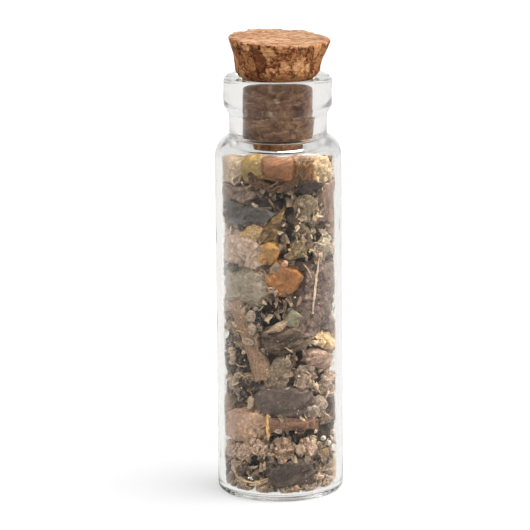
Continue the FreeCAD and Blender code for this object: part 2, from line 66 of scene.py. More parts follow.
def scaled(colour, factor):
    """A linear colour made darker or lighter."""
    return (*(min(1.0, c * factor) for c in colour[:3]), 1.0)


def grey(value):
    """A neutral linear colour."""
    return (value, value, value, 1.0)


def screen_stops(*stops):
    """Ramp stops whose colours are given as 0 to 255 screen colours."""
    return [(place, linear(colour)) for place, colour in stops]


def tone_stops(colour, contrast, steps):
    """Ramp stops of one screen colour made darker and lighter, from (place, change) steps."""
    mid = linear(colour)
    return [(place, scaled(mid, 1 + change * contrast)) for place, change in steps]


def hashed(x, y, z, seed):
    """A repeatable random number from 0 to 1 for each lattice point."""
    n = (x * 374761393 + y * 668265263 + z * 2147483647 + seed * 1274126177) & 0xFFFFFFFF
    n = ((n ^ (n >> 13)) * 1274126177) & 0xFFFFFFFF
    return ((n ^ (n >> 16)) & 0xFFFF) / 65535.0


def soft_noise(points, size, seed):
    """Smooth noise from -1 to 1, with features of the given size."""
    grid = points / size
    cell = np.floor(grid).astype(np.int64)
    part = grid - cell
    part = part * part * (3 - 2 * part)
    total = np.zeros(len(points))
    for corner in itertools.product((0, 1), repeat=3):
        weight = np.ones(len(points))
        for axis in range(3):
            weight *= part[:, axis] if corner[axis] else 1 - part[:, axis]
        at = [cell[:, axis] + corner[axis] for axis in range(3)]
        total += weight * hashed(*at, seed)
    return total * 2 - 1


def rough_noise(points, size, octaves, seed):
    """Several layers of smooth noise, each half the size and height of the last."""
    total = np.zeros(len(points))
    height = 1.0
    for octave in range(octaves):
        total += height * soft_noise(points, size / 2**octave, seed + octave)
        height /= 2
    return total


def smoothstep(low, high, value):
    """0 below low, 1 above high and an even curve between them."""
    t = np.clip((value - low) / (high - low), 0, 1)
    return t * t * (3 - 2 * t)


def link(obj):
    """Puts an object in the scene."""
    bpy.context.scene.collection.objects.link(obj)
    return obj


def vertex_rows(mesh, what):
    """One kind of three-part value for each of a mesh's vertices."""
    flat = np.zeros(len(mesh.vertices) * 3)
    mesh.vertices.foreach_get(what, flat)
    return flat.reshape(-1, 3)


def coordinates(mesh):
    """A mesh's vertices in millimetres."""
    return vertex_rows(mesh, "co") / MM


def set_coordinates(mesh, points):
    """Moves a mesh's vertices to points in millimetres."""
    mesh.vertices.foreach_set("co", (points * MM).ravel())
    mesh.update()


def smooth(mesh, rounded=True):
    """Makes all of a mesh's faces look rounded, or flat."""
    mesh.polygons.foreach_set("use_smooth", [rounded] * len(mesh.polygons))


def applied(obj):
    """The mesh an object has once its modifiers are worked out."""
    depsgraph = bpy.context.evaluated_depsgraph_get()
    return bpy.data.meshes.new_from_object(obj.evaluated_get(depsgraph))


def joined_up(mesh, reach):
    """Joins a mesh's vertices that lie within the reach, in metres, of each other."""
    work = bmesh.new()
    work.from_mesh(mesh)
    bmesh.ops.remove_doubles(work, verts=work.verts, dist=reach)
    work.to_mesh(mesh)
    work.free()


def inside_glass(points):
    """Moves points that would touch the glass back inside it."""
    radius = np.hypot(points[:, 0], points[:, 1])
    height = points[:, 2]
    lift = np.clip(FLOOR_HEIGHT + FLOOR_ROUND - height, 0, FLOOR_ROUND)
    corner = FLOOR_ROUND - np.sqrt(np.maximum(FLOOR_ROUND**2 - lift**2, 0))
    uneven = WALL_SLACK * (1 + np.clip(rough_noise(points, 0.9, 2, 5), -1, 1))
    shrink = np.minimum(1, (WALL_RADIUS - corner - uneven) / np.maximum(radius, 1e-6))
    moved = points.copy()
    moved[:, 0] *= shrink
    moved[:, 1] *= shrink
    moved[:, 2] = np.clip(height, FLOOR_HEIGHT, FILL_TOP)
    return moved


# ---- materials -------------------------------------------------------------------------------


class Nodes:
    """Adds and links the nodes of one node tree."""

    def __init__(self, tree):
        self.tree = tree

    def node(self, kind, **settings):
        """A new node of one kind with the given settings."""
        made = self.tree.nodes.new("ShaderNode" + kind)
        for key, value in settings.items():
            setattr(made, key, value)
        return made

    def put(self, value, target):
        """Links a socket to an input, or sets the input to a plain value."""
        if isinstance(value, bpy.types.NodeSocket):
            self.tree.links.new(value, target)
        else:
            target.default_value = value

    def feed(self, made, *values, **named):
        """Puts values or sockets into a node's inputs, in order or by name."""
        for socket, value in zip(made.inputs, values):
            self.put(value, socket)
        for name, value in named.items():
            self.put(value, made.inputs[name.replace("_", " ")])
        return made

    def ramp(self, source, stops):
        """The colour for each value of a source, from (place, colour) stops."""
        made = self.node("ValToRGB")
        elements = made.color_ramp.elements
        while len(elements) < len(stops):
            elements.new(0.5)
        for element, (place, colour) in zip(elements, stops):
            element.position = place
            element.color = colour
        return self.feed(made, Fac=source).outputs["Color"]

    def share(self, value, low, high, start=0.0, end=1.0):
        """How far a value is from low to high, told as a number from start to end."""
        made = self.node("MapRange")
        self.feed(made, Value=value, From_Min=low, From_Max=high, To_Min=start, To_Max=end)
        return made.outputs["Result"]

    def upward(self, vector):
        """The z part of a vector."""
        return self.feed(self.node("SeparateXYZ"), vector).outputs["Z"]

    def less(self, first, second):
        """The first value less the second, kept between 0 and 1."""
        made = self.node("Math", operation="SUBTRACT", use_clamp=True)
        return self.feed(made, first, second).outputs["Value"]

    def either(self, choice, first, second):
        """The first shader where the choice is 0 and the second where it is 1."""
        return self.feed(self.node("MixShader"), choice, first, second).outputs["Shader"]

    def background(self, colour, strength):
        """Light from the surroundings."""
        made = self.feed(self.node("Background"), Color=colour, Strength=strength)
        return made.outputs["Background"]


class Maker(Nodes):
    """Adds and links the nodes of one new material."""

    def __init__(self, name):
        self.material = bpy.data.materials.new(name)
        self.material.use_nodes = True
        super().__init__(self.material.node_tree)
        self.shader = self.tree.nodes["Principled BSDF"]
        self.output = self.tree.nodes["Material Output"]

    def set(self, **values):
        """Puts values or sockets into the main shader's inputs."""
        self.feed(self.shader, **values)

    def position(self, stretch=(1, 1, 1), turn=(0, 0, 0)):
        """Positions in millimetres, turned, with patterns stretched by the given amounts."""
        made = self.node("Mapping")
        scale = [1 / MM / s for s in stretch]
        rotation = [math.radians(a) for a in turn]
        place = self.node("TexCoord").outputs["Object"]
        self.feed(made, Vector=place, Scale=scale, Rotation=rotation)
        return made.outputs["Vector"]

    def noise(self, vector, size, detail=4.0, rough=0.55, twist=0.0, output="Fac"):
        """Cloudy noise with patches of about the given size in millimetres."""
        made = self.node("TexNoise")
        self.feed(made, Vector=vector, Scale=1 / size, Detail=detail, Roughness=rough)
        return self.feed(made, Distortion=twist).outputs[output]

    def mix(self, kind, factor, first, second):
        """Two colours put together by one kind of blend."""
        made = self.node("Mix", data_type="RGBA", blend_type=kind)
        return self.feed(made, Factor=factor, A=first, B=second).outputs["Result"]

    def push(self, vector, colour, amount):
        """Positions moved by a colour taken as a direction, times the amount."""
        made = self.node("VectorMath", operation="MULTIPLY_ADD")
        return self.feed(made, colour, (amount, amount, amount), vector).outputs["Vector"]

    def glow(self, colour, strength):
        """A shader that gives off light."""
        made = self.feed(self.node("Emission"), Color=colour, Strength=strength)
        return made.outputs["Emission"]

    def bump(self, source, depth, strength, under=None):
        """Relief of a depth in millimetres, laid over other relief if there is any."""
        made = self.feed(self.node("Bump"), Height=source, Distance=depth * MM, Strength=strength)
        if under is not None:
            self.feed(made, Normal=under)
        return made.outputs["Normal"]

    def gritty(self, colours, amount):
        """Fine pale dust and dark pinholes over a surface."""
        fine = self.noise(self.position(), 0.17, 3.0, 0.7)
        pale = self.ramp(fine, [(0.6, grey(0.0)), (0.68, grey(amount))])
        dusted = self.mix("MIX", pale, colours, linear(DUST_COLOUR))
        pits = self.noise(self.position(turn=(40, 20, 0)), 0.22, 3.0, 0.7)
        holes = self.ramp(pits, [(0.33, PINHOLE_TONE), (0.4, WHITE)])
        return self.mix("MULTIPLY", min(1.0, 2 * amount), dusted, holes)

    def hollow_shade_and_edge_light(self, colours, dark, light):
        """Painted shade in the hollows, and paler edges that are partly rubbed and partly painted
        highlight, from the curve of the mesh itself.
        """
        curve = self.node("NewGeometry").outputs["Pointiness"]
        edge = (light, light, light * 0.96, 1.0)
        shade_and_light = self.ramp(curve, [(0.42, grey(dark)), (0.5, WHITE), (0.58, edge)])
        return self.mix("MULTIPLY", 1.0, colours, shade_and_light)


DUST_COLOUR = (226, 210, 190)
PINHOLE_TONE = (0.25, 0.22, 0.2, 1.0)

# How dark the painted shade in hollows is and how bright the edges are (partly painted
# highlight), as factors of the colour.
HOLLOW_SHADE_EDGE_LIGHT, FAINT_HOLLOW_SHADE_EDGE_LIGHT = (0.35, 1.7), (0.7, 1.2)

# Where a colour is made darker or lighter, and by how much at full contrast.
PLANT_STEPS = [(0.28, -0.72), (0.47, -0.2), (0.56, 0.18), (0.72, 0.85)]
RESIN_STEPS = [(0.3, -0.55), (0.5, 0.0), (0.7, 0.6)]
PLANT_SPECKS = [(0.36, (0.42, 0.36, 0.32, 1.0)), (0.5, WHITE), (0.66, (1.28, 1.25, 1.2, 1.0))]
RESIN_DUST = [(0.34, (0.5, 0.45, 0.4, 1.0)), (0.5, WHITE), (0.64, (1.3, 1.28, 1.24, 1.0))]


def plant_material(
    name, colour, contrast, grain, roughness, depth, stretch=(1, 1, 1), shade_and_light=HOLLOW_SHADE_EDGE_LIGHT
):
    """Dry matte plant matter: mottled colour, dark specks and a rough grain."""
    m = Maker(name)
    patches = m.noise(m.position(stretch), grain, 7.0, 0.62, 0.6)
    colours = m.ramp(patches, tone_stops(colour, contrast, PLANT_STEPS))
    specks = m.noise(m.position(), 0.24, 3.0, 0.7)
    dotted = m.mix("MULTIPLY", 0.85, colours, m.ramp(specks, PLANT_SPECKS))
    # Painted shade in the hollows, and paler edges that are partly painted highlight.
    m.set(Base_Color=m.hollow_shade_and_edge_light(m.gritty(dotted, 0.35), *shade_and_light))
    relief = m.bump(patches, depth, 0.8)
    relief = m.bump(m.noise(m.position(), 0.2, 4.0, 0.7), depth * 0.4, 0.9, relief)
    m.set(Roughness=roughness, Specular_IOR_Level=0.3, Normal=relief)
    return m.material


def resin_material(name, colour, contrast, roughness, depth):
    """Dried tree resin: cloudy, a little see-through, dusty in places and shiny in others."""
    m = Maker(name)
    vector = m.position()
    clouds = m.noise(vector, 2.2, 5.0, 0.6, 0.8)
    body = m.ramp(clouds, tone_stops(colour, contrast, RESIN_STEPS))
    dust = m.noise(vector, 0.5, 6.0, 0.7)
    dusty = m.mix("MULTIPLY", 0.8, body, m.ramp(dust, RESIN_DUST))
    # Painted shade in the hollows, and paler edges that are partly painted highlight.
    m.set(Base_Color=m.hollow_shade_and_edge_light(m.gritty(dusty, 0.3), 0.45, 1.5))
    m.set(Roughness=m.share(dust, 0.35, 0.65, roughness, min(1.0, roughness + 0.35)))
    m.set(Subsurface_Weight=0.25, Subsurface_Scale=0.0008, Subsurface_Radius=(1.0, 0.7, 0.4))
    relief = m.bump(dust, depth * 0.35, 0.7, m.bump(clouds, depth, 0.6))
    m.set(Normal=relief)
    return m.material


CORK_TINTS = screen_stops(
    (0.0, (150, 100, 60)),
    (0.22, (208, 158, 112)),
    (0.45, (184, 130, 84)),
    (0.65, (222, 176, 130)),
    (0.85, (170, 112, 70)),
    (1.0, (120, 72, 42)),
)
CORK_FIBRES = screen_stops((0.34, (104, 62, 36)), (0.46, (214, 196, 176)))
CORK_FIBRES += [(0.62, (1.16, 1.13, 1.08, 1.0))]
CORK_SEAMS = [*screen_stops((0.2, (70, 36, 16)), (0.27, (150, 104, 72))), (0.34, WHITE)]
CORK_BARK = [(0.54, WHITE), *screen_stops((0.6, (150, 100, 80)), (0.7, (92, 52, 36)))]
SHANK_LAYERS = screen_stops(
    (0.38, (40, 27, 21)),
    (0.46, (94, 68, 52)),
    (0.55, (136, 106, 84)),
    (0.67, (200, 174, 150)),
)
CUT_STREAKS = screen_stops(
    (0.39, (84, 50, 30)),
    (0.46, (132, 94, 64)),
    (0.51, (152, 120, 94)),
    (0.6, (184, 154, 126)),
)
SHANK_PAINTED_SHADE = (0.55, 0.56, 0.6, 1.0)  # painted shade: the shank inside the neck is made duller and darker
SHANK_LAYERING = 0.65
# How far the upward-facing top takes the paler streak colours: partly the top's own look, partly
# painted light from above.
TOP_LIGHT_AND_CUT = 0.82
SHANK_END, HEAD_START = 72.0, 74.4  # the look changes from shank to head between these heights


def cork_material():
    """Pressed cork: granules with ragged dark seams, painted shade on the shank inside the neck,
    and a paler top, partly its own pale streaks and partly painted light from above.
    """
    m = Maker("agglomerated_cork")
    vector = m.position((1.0, 1.0, 1.25), (12, 18, 0))
    bent = m.push(vector, m.noise(vector, 1.25, 5.0, 0.65, output="Color"), 2.6)
    grains = m.feed(m.node("TexVoronoi", feature="F1"), Scale=0.42, Vector=bent)
    edges = m.feed(m.node("TexVoronoi", feature="DISTANCE_TO_EDGE"), Scale=0.42, Vector=bent)
    tint = grains.outputs["Color"]
    pick = m.feed(m.node("SeparateColor"), tint)

    shifted = m.push(m.position((0.45, 0.7, 1.9), (35, 10, 40)), tint, 30.0)
    along = m.noise(shifted, 0.75, 8.0, 0.7, 0.7)
    across = m.noise(m.position((1.8, 0.6, 0.5), (10, 50, 0)), 0.7, 8.0, 0.7, 0.5)
    fibres = m.feed(m.node("Mix"), Factor=pick.outputs["Green"], A=along, B=across)
    fibre = fibres.outputs["Result"]
    tinted = m.ramp(pick.outputs["Red"], CORK_TINTS)
    fibred = m.mix("MULTIPLY", 0.95, tinted, m.ramp(fibre, CORK_FIBRES))

    seam = m.node("Math", operation="MULTIPLY_ADD")
    m.feed(seam, m.noise(vector, 1.1, 5.0, 0.7), 0.5, edges.outputs["Distance"])
    ragged = seam.outputs["Value"]
    seamed = m.mix("MULTIPLY", 0.85, fibred, m.ramp(ragged, CORK_SEAMS))
    bark = m.noise(m.position((1.3, 1.3, 0.9), (0, 30, 20)), 2.6, 6.0, 0.7, 1.6)
    whole = m.mix("MULTIPLY", 0.8, seamed, m.ramp(bark, CORK_BARK))

    height = m.share(m.upward(m.position()), SHANK_END, HEAD_START)
    # Painted shade: below the head the cork is made duller and darker where it sits in the neck.
    neck_shade = m.ramp(height, [(0.0, SHANK_PAINTED_SHADE), (1.0, WHITE)])
    # Painted shade in the hollows, and paler edges that are partly painted highlight.
    toned = m.mix("MULTIPLY", 1.0, m.hollow_shade_and_edge_light(m.gritty(whole, 0.3), 0.4, 1.35), neck_shade)
    layers = m.noise(m.position((1.6, 1.6, 0.9), (4, 3, 0)), 1.6, 8.0, 0.76, 0.6)
    below = m.ramp(height, [(0.0, grey(SHANK_LAYERING)), (1.0, grey(0.0))])
    layered = m.mix("MIX", below, toned, m.ramp(layers, SHANK_LAYERS))

    # The upward-facing top is made paler: partly its own pale streaks, partly painted light from
    # above.
    facing = m.upward(m.node("TexCoord").outputs["Normal"])
    upward_light_and_cut = m.ramp(facing, [(0.55, grey(0.0)), (0.9, grey(TOP_LIGHT_AND_CUT))])
    streaks = m.noise(m.position((2.6, 0.7, 1.0), (0, 0, 12)), 0.8, 8.0, 0.7, 0.9)
    m.set(Base_Color=m.mix("MIX", upward_light_and_cut, layered, m.ramp(streaks, CUT_STREAKS)))
    m.set(Roughness=0.9, Specular_IOR_Level=0.15)
    m.set(Normal=m.bump(fibre, 0.3, 0.8, m.bump(ragged, 0.5, 0.6)))
    return m.material


GLASS_TINTS = [(0.3, (0.94, 0.938, 0.924, 1.0)), (0.7, (0.962, 0.96, 0.948, 1.0))]
GLASS_SHADOW = (0.93, 0.94, 0.935, 1.0)
GLASS_BODY, GLASS_DENSITY = (0.5, 0.51, 0.49, 1.0), 9.0
GLASS_SHINE = 0.28


def glass_material():
    """Clear soda glass. Lamps shine through it, so that what is inside is lit."""
    m = Maker("clear_glass")
    m.set(Roughness=0.0, IOR=1.5, Specular_Tint=grey(GLASS_SHINE), Transmission_Weight=1.0)
    film = m.noise(m.position((1, 1, 2.5)), 6.0, 3.0)
    ripple = m.noise(m.position((1, 1, 4)), 3.0, 2.0)
    m.set(Base_Color=m.ramp(film, GLASS_TINTS), Normal=m.bump(ripple, 0.012, 0.6))
    shadow = m.node("LightPath").outputs["Is Shadow Ray"]
    clear = m.feed(m.node("BsdfTransparent"), Color=GLASS_SHADOW).outputs["BSDF"]
    m.feed(m.output, Surface=m.either(shadow, m.shader.outputs["BSDF"], clear))
    smoke = m.feed(m.node("VolumeAbsorption"), Color=GLASS_BODY, Density=GLASS_DENSITY)
    m.feed(m.output, Volume=smoke.outputs["Volume"])
    return m.material


# ---- turned pieces: the glass and the cork -----------------------------------------------------


def rounded_corner(before, corner, after, radius, steps):
    """The arc that rounds off a corner of an outline."""
    b, c, a = (Vector(p) for p in (before, corner, after))
    to_before, to_after = (b - c).normalized(), (a - c).normalized()
    half = to_before.angle(to_after) / 2
    reach = radius / math.tan(half)
    middle = c + (to_before + to_after).normalized() * (radius / math.sin(half))
    first, last = c + to_before * reach, c + to_after * reach
    points = []
    start = math.atan2(first.y - middle.y, first.x - middle.x)
    sweep = math.atan2(last.y - middle.y, last.x - middle.x) - start
    sweep = (sweep + math.pi) % (2 * math.pi) - math.pi
    for i in range(steps + 1):
        angle = start + sweep * i / steps
        points.append((middle.x + radius * math.cos(angle), middle.y + radius * math.sin(angle)))
    return points


def divided(line, longest):
    """A line of points with its long runs divided into even parts."""
    made = [line[0]]
    for end_x, end_z in line[1:]:
        x, z = made[-1]
        parts = max(1, round(math.hypot(end_x - x, end_z - z) / longest))
        for i in range(1, parts + 1):
            made.append((x + (end_x - x) * i / parts, z + (end_z - z) * i / parts))
    return made


def outline(corners):
    """An outline from corners given as (radius, height, rounding), with long runs divided."""
    points = []
    last = len(corners) - 1
    for i, (x, z, rounding) in enumerate(corners):
        if rounding and 0 < i < last:
            before, after = corners[i - 1][:2], corners[i + 1][:2]
            points += rounded_corner(before, (x, z), after, rounding, CORNER_STEPS)
        else:
            points.append((x, z))
    return divided(points, LONGEST_RUN)


CORNER_STEPS = 10
LONGEST_RUN = 1.0


def turned(name, profile, segments):
    """A closed turned mesh from a (radius, height) outline that starts and ends on the axis."""
    rings = profile[1:-1]
    vertices = [(0.0, 0.0, profile[0][1])]
    for radius, height in rings:
        for i in range(segments):
            a = 2 * math.pi * i / segments
            vertices.append((radius * math.cos(a), radius * math.sin(a), height))
    vertices.append((0.0, 0.0, profile[-1][1]))
    end = len(vertices) - 1
    faces = []
    for i in range(segments):
        j = (i + 1) % segments
        faces.append((0, 1 + j, 1 + i))
        for ring in range(len(rings) - 1):
            low, high = 1 + ring * segments, 1 + (ring + 1) * segments
            faces.append((low + i, low + j, high + j, high + i))
        low = 1 + (len(rings) - 1) * segments
        faces.append((low + i, low + j, end))
    mesh = bpy.data.meshes.new(name)
    mesh.from_pydata([tuple(c * MM for c in v) for v in vertices], [], faces)
    smooth(mesh)
    return mesh


# Corners of the turned pieces, from the axis outwards and back: radius, height and rounding.
GLASS_CORNERS = [
    (0.0, 0.35, 0),
    (6.0, 0.3, 0),
    (9.0, 0.0, 1.2),
    (11.0, 0.0, 1.5),
    (11.0, 62.1, 3.8),
    (8.5, 63.35, 0.7),
    (8.5, 67.3, 0.8),
    (9.4, 68.7, 1.2),
    (9.4, 73.8, 0.9),
    (6.2, 73.8, 1.3),
    (6.2, 62.3, 0.5),
    (9.95, 61.2, 2.4),
    (9.95, 0.9, 1.2),
    (0.0, 1.05, 0),
]
CORK_CORNERS = [
    (0.0, 63.2, 0),
    (6.14, 63.2, 0.4),
    (6.14, 73.5, 0.4),
    (6.8, 73.9, 0),
    (7.3, 74.7, 0.8),
    (7.75, 77.2, 2.0),
    (9.0, 80.5, 0.3),
    (0.0, 80.5, 0),
]
CORK_TOP, CORK_RIM = 80.5, 8.9
HEAD_FOOT = 74.0
CORK_STEP = 0.16
CORK_LEAN, CORK_SHIFT, CORK_SWELL = 0.05, 0.38, 0.16
GLASS_SEGMENTS, CORK_SEGMENTS = 256, 320


def make_glass():
    """The vial, with the slight waves and the uneven lip of glass shaped by hand."""
    mesh = turned("vial_glass", outline(GLASS_CORNERS), GLASS_SEGMENTS)
    points = coordinates(mesh)
    radius = np.hypot(points[:, 0], points[:, 1])
    height = points[:, 2].copy()
    around = points / np.maximum(radius, 1e-3)[:, None]
    around[:, 2] = height / 9
    waves = 0.022 * soft_noise(around * 3, 1.0, 11) + 0.012 * soft_noise(around * 7, 1.0, 12)
    lip = smoothstep(66.5, 70.0, height) + 0.8 * smoothstep(60.5, 62, height)
    slow = around.copy()
    slow[:, 2] = height / 3
    waves += lip * 0.05 * soft_noise(slow * 1.7, 1.0, 13) * (radius > 7.2)
    push = waves * smoothstep(0.0, 3.0, height) * (radius > 3)
    points[:, :2] += around[:, :2] * push[:, None]
    points[:, 2] += 0.06 * soft_noise(slow * 1.3, 1.0, 14) * smoothstep(72.0, 73.6, height)
    set_coordinates(mesh, points)
    glass = link(bpy.data.objects.new("vial_glass", mesh))
    mesh.materials.append(glass_material())
    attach(glass, "vial")
    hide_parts("glass_vial")


def make_cork():
    """The stopper: rough, pitted granules, a chipped rim and a top that isn't quite level."""
    line = divided(outline(CORK_CORNERS), CORK_STEP)
    mesh = turned("cork_head_and_shank", line, CORK_SEGMENTS)
    points = coordinates(mesh)
    facing = vertex_rows(mesh, "normal")
    head = smoothstep(HEAD_FOOT, 75.0, points[:, 2])
    height = (
        0.11 * rough_noise(points, 1.7, 4, 21)
        - 0.16 * np.maximum(0, rough_noise(points, 0.9, 3, 25) - 0.35)
        - 0.3 * np.maximum(0, rough_noise(points, 2.4, 3, 29) - 0.5)
    )
    rim = np.exp(-((np.hypot(points[:, 0], points[:, 1]) - CORK_RIM) ** 2) / 0.5) * head
    rim *= smoothstep(79.1, CORK_TOP, points[:, 2])
    height -= rim * 0.55 * np.maximum(0, rough_noise(points, 1.5, 3, 33) - 0.05)
    shank = np.minimum(height, 0.0) * 0.5 - 0.02
    points += facing * (head * height + (1 - head) * shank)[:, None]
    lean = smoothstep(HEAD_FOOT, CORK_TOP, points[:, 2])
    points[:, 2] -= CORK_LEAN * points[:, 0] * lean
    points[:, 2] += CORK_SWELL * lean * soft_noise(points * (1, 1, 0), 4.0, 37)
    points[:, 0] += CORK_SHIFT * lean
    set_coordinates(mesh, points)
    cork = link(bpy.data.objects.new("cork_head_and_shank", mesh))
    mesh.materials.append(cork_material())
    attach(cork, "cork")
    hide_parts("cork_stopper")


# ---- the fill -------------------------------------------------------------------------------


def welded_copy(node, name):
    """A copy of a CAD node's mesh with its faces joined up."""
    mesh = NODES[node].data.copy()
    mesh.name = name
    mesh.materials.clear()
    joined_up(mesh, 1e-6)
    return mesh


def fine_copy(node, name, voxel):
    """The CAD node's form as an even, fine mesh that can carry relief."""
    rough = link(bpy.data.objects.new(name + "_source", welded_copy(node, name)))
    fine = rough.modifiers.new("fine", "REMESH")
    fine.mode = "VOXEL"
    fine.voxel_size = voxel * MM
    mesh = applied(rough)
    source = rough.data
    bpy.data.objects.remove(rough)
    bpy.data.meshes.remove(source)
    mesh.name = name
    smooth(mesh)
    return mesh


def finish_piece(name, node, mesh, material):
    """Puts a finished mesh in the scene in place of its CAD node."""
    set_coordinates(mesh, inside_glass(coordinates(mesh)))
    smooth(mesh)
    mesh.materials.clear()
    mesh.materials.append(material)
    piece = link(bpy.data.objects.new(name, mesh))
    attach(piece, "vial")
    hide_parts(node)
    return piece


def seed_of(node):
    """A number of its own for each node, the same in every run."""
    return sum((i + 3) * ord(letter) for i, letter in enumerate(node)) % 9973


def shaped_lump(node, voxel, size, height, fibre):
    """A lump with broken, uneven faces. Fibre stretches its relief along one direction."""
    mesh = fine_copy(node, node + "_piece", voxel)
    points = coordinates(mesh)
    facing = vertex_rows(mesh, "normal")
    seed = seed_of(node)
    along = np.array(fibre, float)
    along /= np.linalg.norm(along)
    stretched = points - 0.75 * (points @ along)[:, None] * along
    chips = rough_noise(points, size, 2, seed)
    sharp = 0.5 - np.abs(rough_noise(stretched, size / 2.2, 3, seed + 20))
    relief = 0.6 * chips + 0.7 * sharp + 0.45 * rough_noise(stretched, size / 3.6, 4, seed + 50)
    points += facing * (height * (relief - 0.2))[:, None]
    set_coordinates(mesh, points)
    return mesh


def shaped_twig(node, voxel, bend, groove):
    """A twig: a gentle bend, grooves along it and a few knots."""
    mesh = fine_copy(node, node + "_piece", voxel)
    points = coordinates(mesh)
    facing = vertex_rows(mesh, "normal")
    seed = seed_of(node)
    middle = points.mean(0)
    spread = np.linalg.svd(points - middle, full_matrices=False)[2]
    along = (points - middle) @ spread[0]
    half = np.abs(along).max()
    grain = points - 0.9 * along[:, None] * spread[0]
    relief = groove * rough_noise(grain, 0.7, 3, seed)
    relief += 0.5 * groove * soft_noise(points, 2.6, seed + 9)
    points += facing * relief[:, None]
    inward = -middle * (1, 1, 0) / max(np.hypot(middle[0], middle[1]), 1e-6)
    points += inward * (bend * ((along / half) ** 2))[:, None]
    set_coordinates(mesh, points)
    return mesh


def wall_frame(points):
    """Where a flat piece lies on the glass: azimuth, centre, its two axes, half sizes, radius."""
    middle = points.mean(0)
    azimuth = math.atan2(middle[0], -middle[1])
    angle = np.arctan2(points[:, 0], -points[:, 1]) - azimuth
    angle = (angle + math.pi) % (2 * math.pi) - math.pi
    radius = np.hypot(points[:, 0], points[:, 1])
    flat = np.stack([angle * radius, points[:, 2]], 1)
    centre = (flat.max(0) + flat.min(0)) / 2
    axes = np.linalg.svd(flat - flat.mean(0), full_matrices=False)[2]
    along = axes[0] if axes[0][1] >= 0 else -axes[0]
    across = np.array([along[1], -along[0]])
    length = np.abs((flat - centre) @ along).max()
    width = np.abs((flat - centre) @ across).max()
    return azimuth, centre, along, across, length, width, radius.max()


def creases(x, y, spacing, sharpness, dice):
    """Height of a crumpled sheet: flat facets between sharp folds, about spacing apart."""
    reach_x, reach_y = np.abs(x).max() + spacing, np.abs(y).max() + spacing
    count = int(max(4, 4 * reach_x * reach_y / spacing**2))
    height = np.zeros_like(x)
    for sign in (1, -1):
        px, py = dice.uniform(-reach_x, reach_x, count), dice.uniform(-reach_y, reach_y, count)
        planes = 2 * (np.outer(x, px) + np.outer(y, py)) - (px**2 + py**2)
        height += sign * planes.max(1)
    return sharpness * height


def leaf_sheet(frame_values, seed, crumple, fold, ragged, depth, cup, slim=0.0):
    """A crumpled leaf against the glass: a folded, ragged, slightly thick sheet."""
    azimuth, centre, along, across, length, width, radius = frame_values
    rows, columns = LEAF_ROWS, LEAF_COLUMNS
    dice = np.random.default_rng(seed)
    phase = dice.uniform(0, 6.28, 4)  # of the waves in the leaf's sides, bend and ends
    u, v = np.meshgrid(np.linspace(-1, 1, rows), np.linspace(-1, 1, columns), indexing="ij")
    u, v = u.ravel(), v.ravel()
    taper = np.sqrt(np.maximum(1 - np.abs(u) ** 2.3, 0)) * (1 + 0.12 * np.sin(2.6 * u + phase[0]))
    taper *= 1 - abs(slim) * smoothstep(-0.5, 0.9, u if slim > 0 else -u)
    sides = np.stack([u * length * 0.9, np.sign(v) * 7.0, np.full_like(u, seed % 97)], 1)
    tooth = rough_noise(sides, 0.9, 4, seed)
    edge = 1 + ragged * (1.8 * tooth - 0.3) * np.abs(v) ** 2
    bend = 0.2 * np.sin(1.7 * u + phase[1])
    x = (v * taper * edge + bend) * width
    y = (u + 0.07 * np.sin(3 * v + phase[2]) + 0.05 * tooth * np.abs(u)) * length
    inward = crumple * (0.35 + creases(x, y, 1.25, 0.55, dice))
    inward += crumple * 0.2 * creases(x, y, 0.7, 0.9, dice)
    veins = np.exp(-((v * 9) ** 2)) * 0.5
    ribs = np.exp(-((((u * 4.2 + np.abs(v) * 1.6) % 1) - 0.5) ** 2) * 40) * 0.25
    inward -= 0.3 * (veins + ribs) * fold
    inward += cup * (np.abs(v) ** 2 + 0.5 * np.abs(u) ** 2) + depth
    inward += fold * 0.45 * np.abs(v)
    flat = centre + np.outer(y, along) + np.outer(x, across)
    r = radius - np.maximum(inward, 0.02 + 0.1 * np.abs(tooth))
    angle = azimuth + flat[:, 0] / radius
    vertices = np.stack([r * np.sin(angle), -r * np.cos(angle), flat[:, 1]], 1)
    return vertices, grid_faces(rows, columns)


LEAF_ROWS, LEAF_COLUMNS = 72, 46


def grid_faces(rows, columns):
    """The four-cornered faces of a sheet of points."""
    faces = []
    for i in range(rows - 1):
        for j in range(columns - 1):
            a = i * columns + j
            faces.append((a, a + 1, a + columns + 1, a + columns))
    return faces


def joined_mesh(name, parts):
    """One mesh from several lists of points in millimetres and their faces."""
    vertices, faces = [], []
    for points, polygons in parts:
        start = len(vertices)
        vertices += [tuple(p * MM) for p in points]
        faces += [tuple(start + k for k in polygon) for polygon in polygons]
    mesh = bpy.data.meshes.new(name)
    mesh.from_pydata(vertices, [], faces)
    return mesh


def sheet_mesh(name, parts, thickness):
    """One closed, slightly thick mesh from several (vertices, faces) sheets."""
    mesh = joined_mesh(name, parts)
    joined_up(mesh, 2e-6)
    thick = link(bpy.data.objects.new(name + "_source", mesh))
    solid = thick.modifiers.new("thick", "SOLIDIFY")
    solid.thickness = thickness * MM
    solid.offset = 0.0
    made = applied(thick)
    bpy.data.objects.remove(thick)
    bpy.data.meshes.remove(mesh)
    made.name = name
    smooth(made)
    return made


